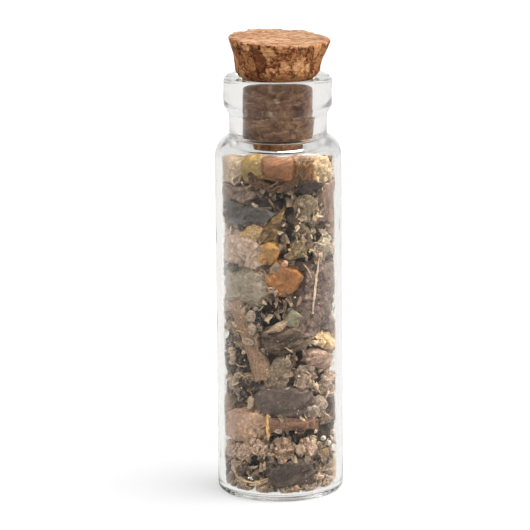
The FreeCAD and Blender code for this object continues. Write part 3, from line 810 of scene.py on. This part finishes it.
def islands(node):
    """The separate solids of a node, as arrays of points in millimetres."""
    mesh = welded_copy(node, node + "_islands")
    work = bmesh.new()
    work.from_mesh(mesh)
    work.verts.ensure_lookup_table()
    seen, found = set(), []
    for vertex in work.verts:
        if vertex.index in seen:
            continue
        stack, group = [vertex], []
        seen.add(vertex.index)
        while stack:
            current = stack.pop()
            group.append(current.co / MM)
            for edge in current.link_edges:
                other = edge.other_vert(current)
                if other.index not in seen:
                    seen.add(other.index)
                    stack.append(other)
        found.append(np.array([tuple(p) for p in group]))
    work.free()
    bpy.data.meshes.remove(mesh)
    return found


def leaf_mesh(node, crumple, fold, ragged, depth, slim):
    """A leaf or petal node, or a group of them, as crumpled sheets."""
    parts = []
    for i, points in enumerate(islands(node)):
        seed = seed_of(node) + 17 * i
        sheet = leaf_sheet(wall_frame(points), seed, crumple, fold, ragged, depth, 0.3, slim)
        parts.append(sheet)
    return sheet_mesh(node + "_piece", parts, LEAF_THICKNESS)


LEAF_THICKNESS, PETAL_THICKNESS = 0.16, 0.14
HEART_PETALS = 3


def flower_mesh(node, petals, crumple):
    """A dried flower head: several curled petals that overlap round its middle."""
    points = coordinates(NODES[node].data)
    azimuth, centre, along, across, length, width, radius = wall_frame(points)
    parts = []
    seed = seed_of(node)

    def add(turn, reach, out, half_width, number, *shape):
        """One petal: turn and distance out from the middle, half sizes, seed, leaf shape."""
        direction = along * math.cos(turn) + across * math.sin(turn)
        sideways = np.array([direction[1], -direction[0]])
        spot = centre + direction * out
        values = (azimuth, spot, direction, sideways, reach, half_width, radius)
        parts.append(leaf_sheet(values, seed + number, crumple, *shape))

    for i in range(petals):
        turn = 2 * math.pi * (i + 0.2 * math.sin(i * 2.3)) / petals
        reach = length * (0.5 + 0.12 * math.sin(i * 1.9))
        lift = 0.15 + 0.28 * (i % 3)
        add(turn, reach, reach * 0.85, width * 0.36, 31 * i, 0.6, 0.16, lift, 0.5)
    for i in range(HEART_PETALS):
        add(2.1 * i + 0.4, length * 0.3, 0.4, width * 0.26, 400 + 31 * i, 0.9, 0.2, 0.1, 0.7)
    return sheet_mesh(node + "_piece", parts, PETAL_THICKNESS)


# Each leaf or petal: colour, contrast, crumple, fold, raggedness, depth behind the glass, and
# how far it narrows towards its upper end.
LEAVES = {
    "twisted_leaf": ((130, 102, 66), 0.75, 0.7, 1.2, 0.12, 0.05, 0.8),
    "olive_leaf": ((122, 106, 84), 0.85, 0.9, 0.8, 0.16, 0.1, 0.0),
    "silver_leaf": ((158, 142, 122), 0.7, 0.9, 0.6, 0.2, 0.05, 0.0),
    "small_olive_leaf": ((132, 112, 84), 0.7, 0.7, 0.9, 0.12, 0.05, -0.5),
    "yellow_petal": ((186, 154, 108), 0.5, 0.4, 0.4, 0.12, 0.02, 0.0),
    "golden_resin_flake": ((180, 154, 120), 0.6, 0.7, 0.4, 0.16, 0.02, 0.0),
    "golden_petal": ((204, 172, 128), 0.5, 0.6, 0.6, 0.14, 0.02, 0.4),
    "pale_leaf_tip": ((164, 142, 116), 0.5, 0.3, 0.4, 0.1, 0.0, -0.4),
    "round_leaf": ((128, 110, 90), 0.6, 0.6, 0.6, 0.12, 0.02, 0.0),
    "crumpled_leaf": ((148, 128, 110), 0.8, 1.0, 0.7, 0.2, 0.1, 0.0),
    "grey_leaf": ((142, 124, 108), 0.6, 0.5, 0.4, 0.08, 0.02, 0.0),
    "thin_yellow_petal": ((214, 170, 112), 0.4, 0.3, 0.5, 0.08, 0.0, 0.0),
    "back_leaves": ((122, 102, 76), 0.7, 0.9, 0.9, 0.16, 0.05, 0.0),
}

FLOWERS = {
    "shrivelled_flower": ((160, 138, 120), 0.9, 7),
    "crumpled_flower": ((160, 132, 110), 0.9, 6),
    "star_flower": ((172, 144, 126), 0.7, 5),
}

# Each lump of resin: colour, contrast, roughness, relief.
RESINS = {
    "pale_resin_lump": ((190, 166, 140), 0.6, 0.45, 0.42),
    "olive_resin_lump": ((150, 122, 68), 0.6, 0.4, 0.45),
    "orange_resin_lump": ((116, 72, 34), 1.0, 0.28, 0.4),
    "slate_resin_lump": ((82, 74, 70), 0.6, 0.5, 0.5),
    "pink_resin_lump": ((186, 158, 136), 0.6, 0.45, 0.5),
    "honey_resin_chip": ((180, 132, 70), 0.6, 0.3, 0.4),
    "amber_resin_lump": ((150, 96, 46), 0.9, 0.3, 0.4),
    "green_resin_lump": ((150, 134, 112), 0.5, 0.45, 0.5),
    "pale_green_chip": ((136, 128, 104), 0.45, 0.35, 0.35),
    "mauve_resin_lump": ((92, 76, 68), 0.8, 0.55, 0.6),
    "tan_resin_lump": ((186, 150, 124), 0.55, 0.5, 0.5),
    "side_resin_lumps": ((150, 124, 98), 0.7, 0.5, 0.55),
    "back_resin_lumps": ((138, 116, 92), 0.8, 0.5, 0.6),
    # The core lumps sit deep behind the others; their dark colour is painted shade for the deep
    # gaps.
    "core_resin_lump_low": ((78, 64, 54), 0.7, 0.6, 0.6),
    "core_resin_lump_high": ((78, 64, 54), 0.7, 0.6, 0.6),
}

# Each piece of bark: colour, contrast, relief, direction of its fibres.
BARKS = {
    "rough_brown_lump": ((122, 86, 52), 0.95, 0.6, (0.4, 0, 1)),
    "mauve_bark_lump": ((138, 116, 102), 0.95, 0.5, (1, 0.6, 0.1)),
    "dark_root_strip": ((60, 47, 40), 0.8, 0.5, (1, 0.5, -0.2)),
    "red_bark_strip": ((138, 112, 96), 0.7, 0.35, (0, 0, 1)),
    "rough_bark_slab": ((122, 102, 92), 1.0, 0.45, (0.8, -0.6, 0)),
    "dark_leaf": ((104, 86, 70), 0.85, 0.7, (1, 0, 0.4)),
    "pink_bark_fragment": ((164, 134, 116), 0.7, 0.5, (1, 0.8, 0.3)),
    "dark_bark_lump": ((84, 70, 62), 0.9, 0.75, (1, 0.2, 0.5)),
    "side_bark_slab": ((100, 80, 66), 0.9, 0.5, (0, 0.1, 1)),
    "back_bark_slab": ((116, 90, 70), 0.9, 0.55, (0.1, 0, 1)),
    "back_bark_lumps": ((94, 76, 62), 0.9, 0.65, (0.3, 0.5, 1)),
    # The core lumps sit deep behind the others; their dark colour is painted shade for the deep
    # gaps.
    "core_bark_lump_low": ((60, 46, 36), 0.8, 0.7, (0, 0, 1)),
    "core_bark_lump_middle": ((60, 46, 36), 0.8, 0.7, (1, 0, 1)),
    "core_bark_lump_high": ((60, 46, 36), 0.8, 0.7, (1, 1, 0)),
}

# Each twig: colour, contrast, bend, groove depth.
TWIGS = {
    "smooth_twig": ((156, 124, 98), 0.35, -0.25, 0.04),
    "pale_stem": ((206, 182, 158), 0.3, -0.5, 0.04),
    "red_bark_twig": ((124, 88, 68), 0.85, 0.1, 0.2),
    "side_twig": ((130, 98, 72), 0.6, 0.1, 0.08),
    "back_twig": ((118, 88, 66), 0.6, 0.1, 0.1),
}

# Each small thing: colour, contrast, relief.
SMALLS = {
    "pale_seeds": ((166, 146, 126), 0.5, 0.08),
    "pale_bead": ((190, 152, 124), 0.4, 0.05),
    "white_seeds": ((198, 184, 168), 0.4, 0.08),
    "curled_bark_strip": ((88, 60, 40), 1.0, 0.5),
    "curled_husks": ((188, 164, 138), 0.7, 0.25),
    "pale_crumbs": ((186, 156, 134), 0.8, 0.5),
    "floor_crumbs": ((158, 136, 118), 0.9, 0.5),
}


def fill_surface(node, colour, contrast, grain, roughness, depth, stretch=(1, 1, 1)):
    """The plant material of one node of the fill."""
    return plant_material(node + "_surface", colour, contrast, grain, roughness, depth, stretch)


def make_fill():
    """Every piece of the fill in place of its CAD solid."""
    made = []

    def add(node, mesh, material):
        made.append(finish_piece(node + "_piece", node, mesh, material))

    for node, (colour, contrast, crumple, fold, ragged, depth, slim) in LEAVES.items():
        material = fill_surface(node, colour, contrast, 1.1, 0.8, 0.1)
        add(node, leaf_mesh(node, crumple, fold, ragged, depth, slim), material)
    for node, (colour, contrast, petals) in FLOWERS.items():
        material = fill_surface(node, colour, contrast, 0.9, 0.85, 0.12)
        add(node, flower_mesh(node, petals, PETAL_CRUMPLE), material)
    for node, (colour, contrast, roughness, height) in RESINS.items():
        material = resin_material(node + "_surface", colour, contrast, roughness, 0.25)
        add(node, shaped_lump(node, lump_voxel(node), 3.4, height, (1, 0.4, 0.3)), material)
    for node, (colour, contrast, height, fibre) in BARKS.items():
        stretch = (0.7, 0.7, 2.2) if fibre[2] >= 1 else (2.2, 0.9, 0.7)
        stretch = stretch if fibre[2] else (1, 1, 1)
        material = fill_surface(node, colour, contrast, 1.4, 0.9, 0.3, stretch)
        add(node, shaped_lump(node, lump_voxel(node), 2.6, height, fibre), material)
    for node, (colour, contrast, bend, groove) in TWIGS.items():
        material = fill_surface(node, colour, contrast, 0.9, 0.7, 0.1, (0.6, 0.6, 4.0))
        add(node, shaped_twig(node, TWIG_VOXEL, bend, groove), material)
    material = fill_surface("straw_curl", (178, 152, 122), 0.6, 0.9, 0.7, 0.05)
    add("straw_curl", straw_mesh("straw_curl"), material)
    for node, (colour, contrast, height) in SMALLS.items():
        material = fill_surface(node, colour, contrast, 0.8, 0.75, 0.12)
        add(node, shaped_lump(node, SMALL_VOXEL, 1.2, height, (1, 0, 1)), material)
    return made


# How finely each kind of piece is divided, in millimetres. The core is hardly seen.
CORE_VOXEL, LUMP_VOXEL, TWIG_VOXEL, SMALL_VOXEL = 0.34, 0.2, 0.16, 0.11
PETAL_CRUMPLE = 0.9


def lump_voxel(node):
    """How finely a lump of the fill is divided."""
    return CORE_VOXEL if node.startswith("core") else LUMP_VOXEL


def straw_mesh(node):
    """A loose curl of thin straw along the arc of its CAD solid."""
    points = coordinates(NODES[node].data)
    azimuth = math.atan2(points[:, 0].mean(), -points[:, 1].mean())
    angle = np.arctan2(points[:, 0], -points[:, 1]) - azimuth
    flat = np.stack([angle * WALL_RADIUS, points[:, 2]], 1)
    left, right = flat[:, 0].min(), flat[:, 0].max()
    bend = np.polyfit(flat[:, 0], flat[:, 1], 3)
    dice = np.random.default_rng(7)
    parts = []
    for _ in range(STRAWS):
        start, end = np.sort(dice.uniform(left, right, 2))
        middle, half = (start + end) / 2, max((end - start) / 2, 1.4)
        t = np.linspace(-1, 1, STRAND_POINTS)
        x = middle + half * t
        y = np.polyval(bend, np.clip(x, left, right))
        y += dice.uniform(-0.55, 0.55) + dice.uniform(-0.4, 0.4) * t
        inward = dice.uniform(0.15, 0.7) + dice.uniform(-0.15, 0.3) * t * t
        line = on_wall(azimuth, np.stack([x, y], 1), WALL_RADIUS - np.maximum(inward, 0.15))
        parts.append(tube(line, 0.13 * (1 - 0.6 * np.abs(t) ** 3)))
    return joined_mesh(node + "_piece", parts)


STRAWS = 14
STRAND_POINTS = 15

# Loose bits that lie in the gaps: name, how many, colour, size in millimetres, slot.
DEBRIS = [
    ("leaf_bits", 420, (146, 124, 104), 1.7, "olive_leaf"),
    ("pale_bits", 400, (194, 170, 146), 1.2, "straw"),
    ("dark_bits", 260, (78, 62, 50), 1.5, "dark_bark"),
    ("gold_bits", 50, (190, 154, 104), 1.2, "gold_petal"),
]


FLAKE_HEIGHTS = FLOOR_HEIGHT + 0.4, 59.8
FLAKE_TRIES = 30
FLAKE_THICKNESS = 0.13
DEEPEST_GAP, SMALLEST_GAP = 4.0, 0.75


def gap_at(tree, azimuth, height):
    """The depth of the gap between the glass and the fill at one place."""
    outward = Vector((math.sin(azimuth), -math.cos(azimuth), 0))
    origin = (outward * WALL_RADIUS + Vector((0, 0, height))) * MM
    hit = tree.ray_cast(origin, -outward, DEEPEST_GAP * MM)
    return DEEPEST_GAP if hit[0] is None else hit[3] / MM


def on_wall(azimuth, flat, radius):
    """Points given as distance round the wall and height, at the given radii."""
    angle = azimuth + flat[:, 0] / WALL_RADIUS
    return np.stack([radius * np.sin(angle), -radius * np.cos(angle), flat[:, 1]], 1)


def make_debris(fill):
    """Small flakes and crumbs in the gaps between the larger pieces, next to the glass."""
    vertices, polygons = [], []
    for piece in fill:
        start = len(vertices)
        vertices += [tuple(v.co) for v in piece.data.vertices]
        polygons += [tuple(start + k for k in p.vertices) for p in piece.data.polygons]
    tree = BVHTree.FromPolygons(vertices, polygons)
    dice = random.Random(41)
    for name, count, colour, size, slot in DEBRIS:
        parts = []
        tries = 0
        while len(parts) < count and tries < count * FLAKE_TRIES:
            tries += 1
            azimuth = dice.uniform(-math.pi, math.pi)
            height = dice.uniform(*FLAKE_HEIGHTS)
            gap = gap_at(tree, azimuth, height)
            if gap < SMALLEST_GAP:
                continue
            length = size * dice.uniform(0.4, 1.0)
            depth = min(gap - 0.25, 2.8) * dice.uniform(0.3, 0.95)
            parts.append(flake(azimuth, height, length, depth, dice.randrange(1 << 20)))
        finish_bits(name, parts, FLAKE_THICKNESS, colour, 0.9, False)
    make_fibres(dice)
    make_dust(dice)


def finish_bits(name, parts, thickness, colour, contrast, rounded):
    """One piece from many loose bits, made thick unless they are closed already."""
    mesh = sheet_mesh(name, parts, thickness) if thickness else joined_mesh(name, parts)
    set_coordinates(mesh, inside_glass(coordinates(mesh)))
    smooth(mesh, rounded)
    surface = name + "_surface"
    # Fainter painted shade in the hollows, and paler edges that are partly painted highlight.
    material = plant_material(surface, colour, contrast, 1.5, 0.85, 0.06, shade_and_light=FAINT_HOLLOW_SHADE_EDGE_LIGHT)
    mesh.materials.append(material)
    bits = link(bpy.data.objects.new(name, mesh))
    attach(bits, "vial")


def flake(azimuth, height, length, depth, seed):
    """A little broken flake: a jagged outline, creased across the middle, tilted at random."""
    dice = np.random.default_rng(seed)
    corners = dice.integers(5, 9)
    angles = np.sort(dice.uniform(0, 2 * math.pi, corners))
    outer = dice.uniform(0.55, 1.0, corners) * length
    slim = dice.uniform(0.35, 0.9)
    lean = dice.uniform(0, math.pi)
    ring = np.stack([outer * np.cos(angles), slim * outer * np.sin(angles)], 1)
    inner = ring * 0.5 + dice.uniform(-0.1, 0.1, ring.shape) * length
    flat = np.concatenate([[[0.0, 0.0]], inner, ring])
    turn = np.array([[math.cos(lean), math.sin(lean)], [-math.sin(lean), math.cos(lean)]])
    flat = flat @ turn
    tilt = dice.uniform(-1.0, 1.0, 2)
    lift = dice.uniform(-0.22, 0.22, len(flat)) * length
    inward = depth + flat @ tilt + lift
    flat[:, 1] += height
    vertices = on_wall(azimuth, flat, WALL_RADIUS - np.maximum(inward, 0.03))
    faces = []
    for i in range(corners):
        j = (i + 1) % corners
        faces.append((0, 1 + i, 1 + j))
        faces.append((1 + i, 1 + corners + i, 1 + corners + j, 1 + j))
    return vertices, faces


# Thin dry strands: name, how many, colour, thickness in millimetres, slot.
FIBRES = [
    ("pale_fibres", 46, (196, 166, 130), 0.11, "straw"),
    ("brown_fibres", 44, (112, 82, 56), 0.13, "brown_twig"),
]
FIBRE_HEIGHTS = 3.0, 58.0


def make_fibres(dice):
    """Broken strands of stalk and root that lie over the larger pieces."""
    for name, count, colour, thick, slot in FIBRES:
        parts = []
        while len(parts) < count:
            azimuth = dice.uniform(-math.pi, math.pi)
            height = dice.uniform(*FIBRE_HEIGHTS)
            lean = dice.gauss(0.5, 0.9)
            length = dice.uniform(1.2, 4.2)
            curl = dice.uniform(-0.5, 0.5)
            t = np.linspace(-1, 1, STRAND_POINTS)
            heading = lean + curl * t
            x = np.cumsum(np.cos(heading)) * length / STRAND_POINTS
            y = np.cumsum(np.sin(heading)) * length / STRAND_POINTS
            flat = np.stack([x - x.mean(), y - y.mean() + height], 1)
            inward = dice.uniform(0.15, 0.6) + 0.35 * t * dice.uniform(-1, 1) + 0.25 * t * t
            line = on_wall(azimuth, flat, WALL_RADIUS - np.maximum(inward, 0.12))
            parts.append(tube(line, thick * (1 - 0.5 * np.abs(t) ** 3)))
        finish_bits(name, parts, 0.0, colour, 0.6, True)


def tube(line, radii):
    """A closed many-sided tube along a line of points."""
    ahead = np.gradient(line, axis=0)
    ahead /= np.linalg.norm(ahead, axis=1)[:, None]
    across = np.cross(ahead, [0.31, 0.2, 0.93])
    across /= np.linalg.norm(across, axis=1)[:, None]
    up = np.cross(ahead, across)
    rings = []
    for k in range(TUBE_SIDES):
        a = 2 * math.pi * k / TUBE_SIDES
        rings.append(line + (across * math.cos(a) + up * math.sin(a)) * radii[:, None])
    vertices = np.stack(rings, 1).reshape(-1, 3)
    count = len(line)
    faces = []
    for i in range(count - 1):
        for k in range(TUBE_SIDES):
            a, b = i * TUBE_SIDES + k, i * TUBE_SIDES + (k + 1) % TUBE_SIDES
            faces.append((a, b, b + TUBE_SIDES, a + TUBE_SIDES))
    faces.append(tuple(reversed(range(TUBE_SIDES))))
    faces.append(tuple((count - 1) * TUBE_SIDES + k for k in range(TUBE_SIDES)))
    return vertices, faces


TUBE_SIDES = 6


# Grains of dust on the inside of the glass: name, how many, colour, slot.
DUST = [
    ("pale_dust", 900, (214, 192, 164), "pale_resin"),
    ("brown_dust", 700, (128, 94, 62), "brown_bark"),
]
DUST_FOOT, DUST_RANGE = FLOOR_HEIGHT + 0.3, 59.0


def make_dust(dice):
    """Grit that clings to the inside of the glass, rather more of it low down."""
    for name, count, colour, slot in DUST:
        parts = []
        while len(parts) < count:
            azimuth = dice.uniform(-math.pi, math.pi)
            height = DUST_FOOT + DUST_RANGE * dice.random() ** 1.2
            size = 0.06 + 0.14 * dice.random() ** 3
            spin = np.random.default_rng(dice.randrange(1 << 20)).uniform(0.6, 1.4, (6, 1))
            grain = OCTAHEDRON * spin * size
            flat = np.stack([grain[:, 0], grain[:, 1] + height], 1)
            centre = WALL_RADIUS - 1.6 * size
            parts.append((on_wall(azimuth, flat, centre + grain[:, 2]), OCTAHEDRON_FACES))
        finish_bits(name, parts, 0.0, colour, 0.7, False)


BELT = [[1, 0, 0], [0, 1, 0], [-1, 0, 0], [0, -1, 0]]
OCTAHEDRON = np.array([*BELT, [0, 0, 1], [0, 0, -1]], float)
OCTAHEDRON_FACES = [(i, (i + 1) % 4, 4) for i in range(4)]
OCTAHEDRON_FACES += [((i + 1) % 4, i, 5) for i in range(4)]


# ---- studio ---------------------------------------------------------------------------------

TABLE_REACH = 6.0
TABLE_GLOW, TABLE_GLOW_SHARE = 0.735, 0.7
TABLE_NEAR, TABLE_FAR = 90.0, 300.0  # millimetres from the vial
TABLE_THROUGH, TABLE_THROUGH_GLOW = (1.0, 0.99, 0.965, 1.0), 0.94


def make_floor():
    """A wide white table top.

    Its own glow stands for the light of a wrap-round white studio. Seen through the glass it is
    an even white, and towards the vial and its fill it throws only a dim light.
    """
    mesh = bpy.data.meshes.new("floor")
    work = bmesh.new()
    bmesh.ops.create_grid(work, x_segments=8, y_segments=8, size=TABLE_REACH)
    work.to_mesh(mesh)
    work.free()
    floor = link(bpy.data.objects.new("floor", mesh))
    m = Maker("white_table")
    shade = m.ramp(m.noise(m.position(), 40.0, 2.0), [(0.3, grey(0.8)), (0.7, grey(0.82))])
    m.set(Base_Color=shade, Roughness=0.9, Specular_IOR_Level=0.0)
    glow = m.glow(WHITE, TABLE_GLOW)
    seen = m.either(TABLE_GLOW_SHARE, m.shader.outputs["BSDF"], glow)
    away = m.feed(m.node("VectorMath", operation="LENGTH"), m.position()).outputs["Value"]
    near = m.share(away, TABLE_NEAR, TABLE_FAR)
    dim = m.ramp(near, [(0.0, grey(0.4)), (1.0, grey(0.3))])
    bounce = m.feed(m.node("BsdfDiffuse"), Color=dim).outputs["BSDF"]
    path = m.node("LightPath").outputs
    direct = m.either(path["Is Camera Ray"], bounce, seen)
    straight = m.less(path["Is Transmission Ray"], path["Diffuse Depth"])
    through = m.glow(TABLE_THROUGH, TABLE_THROUGH_GLOW)
    m.feed(m.output, Surface=m.either(straight, direct, through))
    mesh.materials.append(m.material)


def make_sun(name, towards, spread, strength, glints):
    """A very large soft light, far enough away to be even over the whole table."""
    data = bpy.data.lights.new(name, "SUN")
    data.angle = math.radians(spread)
    data.energy = strength
    lamp = link(bpy.data.objects.new(name, data))
    lamp.rotation_mode = "QUATERNION"
    lamp.rotation_quaternion = (-Vector(towards)).to_track_quat("-Z", "Y")
    lamp.visible_glossy = glints


CARD_FROM, CARD_TO, CARD_STEPS = -124.0, -30.0, 24
CARD_DISTANCE, CARD_FOOT, CARD_HEIGHT = 0.15, 0.0005, 0.019
CARD_CLOUDS = [(0.3, (0.6, 0.62, 0.6, 1.0)), (0.7, WHITE)]
CARD_GLOW = 3.5


def make_card():
    """A low bright card at the left of the table, seen only as a haze in the glass."""
    vertices, faces = [], []
    for i in range(CARD_STEPS + 1):
        azimuth = math.radians(CARD_FROM + (CARD_TO - CARD_FROM) * i / CARD_STEPS)
        x, y = CARD_DISTANCE * math.sin(azimuth), -CARD_DISTANCE * math.cos(azimuth)
        vertices += [(x, y, CARD_FOOT), (x, y, CARD_HEIGHT)]
    for i in range(CARD_STEPS):
        faces.append((2 * i, 2 * i + 2, 2 * i + 3, 2 * i + 1))
    mesh = bpy.data.meshes.new("haze_card")
    mesh.from_pydata(vertices, [], faces)
    card = link(bpy.data.objects.new("haze_card", mesh))
    m = Maker("haze_card_paper")
    clouds = m.ramp(m.noise(m.position((1, 1, 3)), 9.0, 3.0), CARD_CLOUDS)
    m.feed(m.output, Surface=m.glow(clouds, CARD_GLOW))
    mesh.materials.append(m.material)
    card.visible_camera = False
    card.visible_diffuse = False
    card.visible_shadow = False
    card.visible_transmission = False


# Brightness of the surroundings from straight down (0) to straight up (1): as they light the
# vial, and as they are seen through or in the glass.
ROOM_STEPS = [(0.0, 0.4), (0.5, 0.4), (0.62, 0.6), (1.0, 1.1)]
THROUGH_STEPS = [(0.0, 0.9), (0.5, 0.98), (0.7, 0.9), (1.0, 0.7)]
BACKDROP_GLOW, ROOM_GLOW, THROUGH_GLOW = 1.05, 1.0, 0.93


def make_world():
    """White surroundings: full white behind the vial, a little greyer where they light it."""
    world = bpy.data.worlds.new("white_room")
    bpy.context.scene.world = world
    world.use_nodes = True
    w = Nodes(world.node_tree)
    backdrop = w.tree.nodes["Background"]
    w.feed(backdrop, Color=WHITE, Strength=BACKDROP_GLOW)
    height = w.share(w.upward(w.node("TexCoord").outputs["Generated"]), -1.0, 1.0)
    room, through = (
        w.background(w.ramp(height, [(at, grey(shade)) for at, shade in steps]), strength)
        for steps, strength in ((ROOM_STEPS, ROOM_GLOW), (THROUGH_STEPS, THROUGH_GLOW))
    )
    path = w.node("LightPath").outputs
    unscattered = w.less(1.0, path["Diffuse Depth"])
    around = w.either(unscattered, room, through)
    seen = w.either(path["Is Camera Ray"], around, backdrop.outputs["Background"])
    w.feed(w.tree.nodes["World Output"], Surface=seen)


# Each sun: name, direction it shines from, spread in degrees, strength, whether it makes glints.
SUNS = [
    ("key", (0.56, -0.14, 1.0), 60.0, 5.5, False),
    ("front", (-0.3, -0.8, 0.7), 35.0, 0.55, True),
]
CAMERA_AIM = (-0.00246, 0, 0.0402)
CAMERA_DISTANCE = 0.79
CAMERA_RISE, CAMERA_ROLL = 12.3, -0.5  # degrees
CAMERA_LENS, CAMERA_SENSOR = 307.0, 36.0
CAMERA_NEAR, CAMERA_FAR = 0.01, 20.0
BOUNCES = 64


def make_camera():
    """A long lens a little above the table, turned slightly about its own axis."""
    data = bpy.data.cameras.new("camera")
    data.sensor_width = CAMERA_SENSOR
    data.lens = CAMERA_LENS
    data.clip_start, data.clip_end = CAMERA_NEAR, CAMERA_FAR
    camera = link(bpy.data.objects.new("camera", data))
    rise = math.radians(CAMERA_RISE)
    back = Vector((0, -math.cos(rise), math.sin(rise)))
    camera.location = Vector(CAMERA_AIM) + back * CAMERA_DISTANCE
    camera.rotation_mode = "QUATERNION"
    level = (-back).to_track_quat("-Z", "Y")
    camera.rotation_quaternion = level @ Quaternion((0, 0, 1), math.radians(CAMERA_ROLL))
    bpy.context.scene.camera = camera


def make_studio():
    """White surroundings, soft light from the upper right and the front, and the camera."""
    make_world()
    for sun in SUNS:
        make_sun(*sun)
    make_card()
    make_camera()
    scene = bpy.context.scene
    scene.view_settings.view_transform = "Standard"
    scene.cycles.max_bounces = BOUNCES
    scene.cycles.glossy_bounces = BOUNCES
    scene.cycles.transmission_bounces = BOUNCES


make_studio()
make_floor()
make_glass()
make_cork()
make_debris(make_fill())
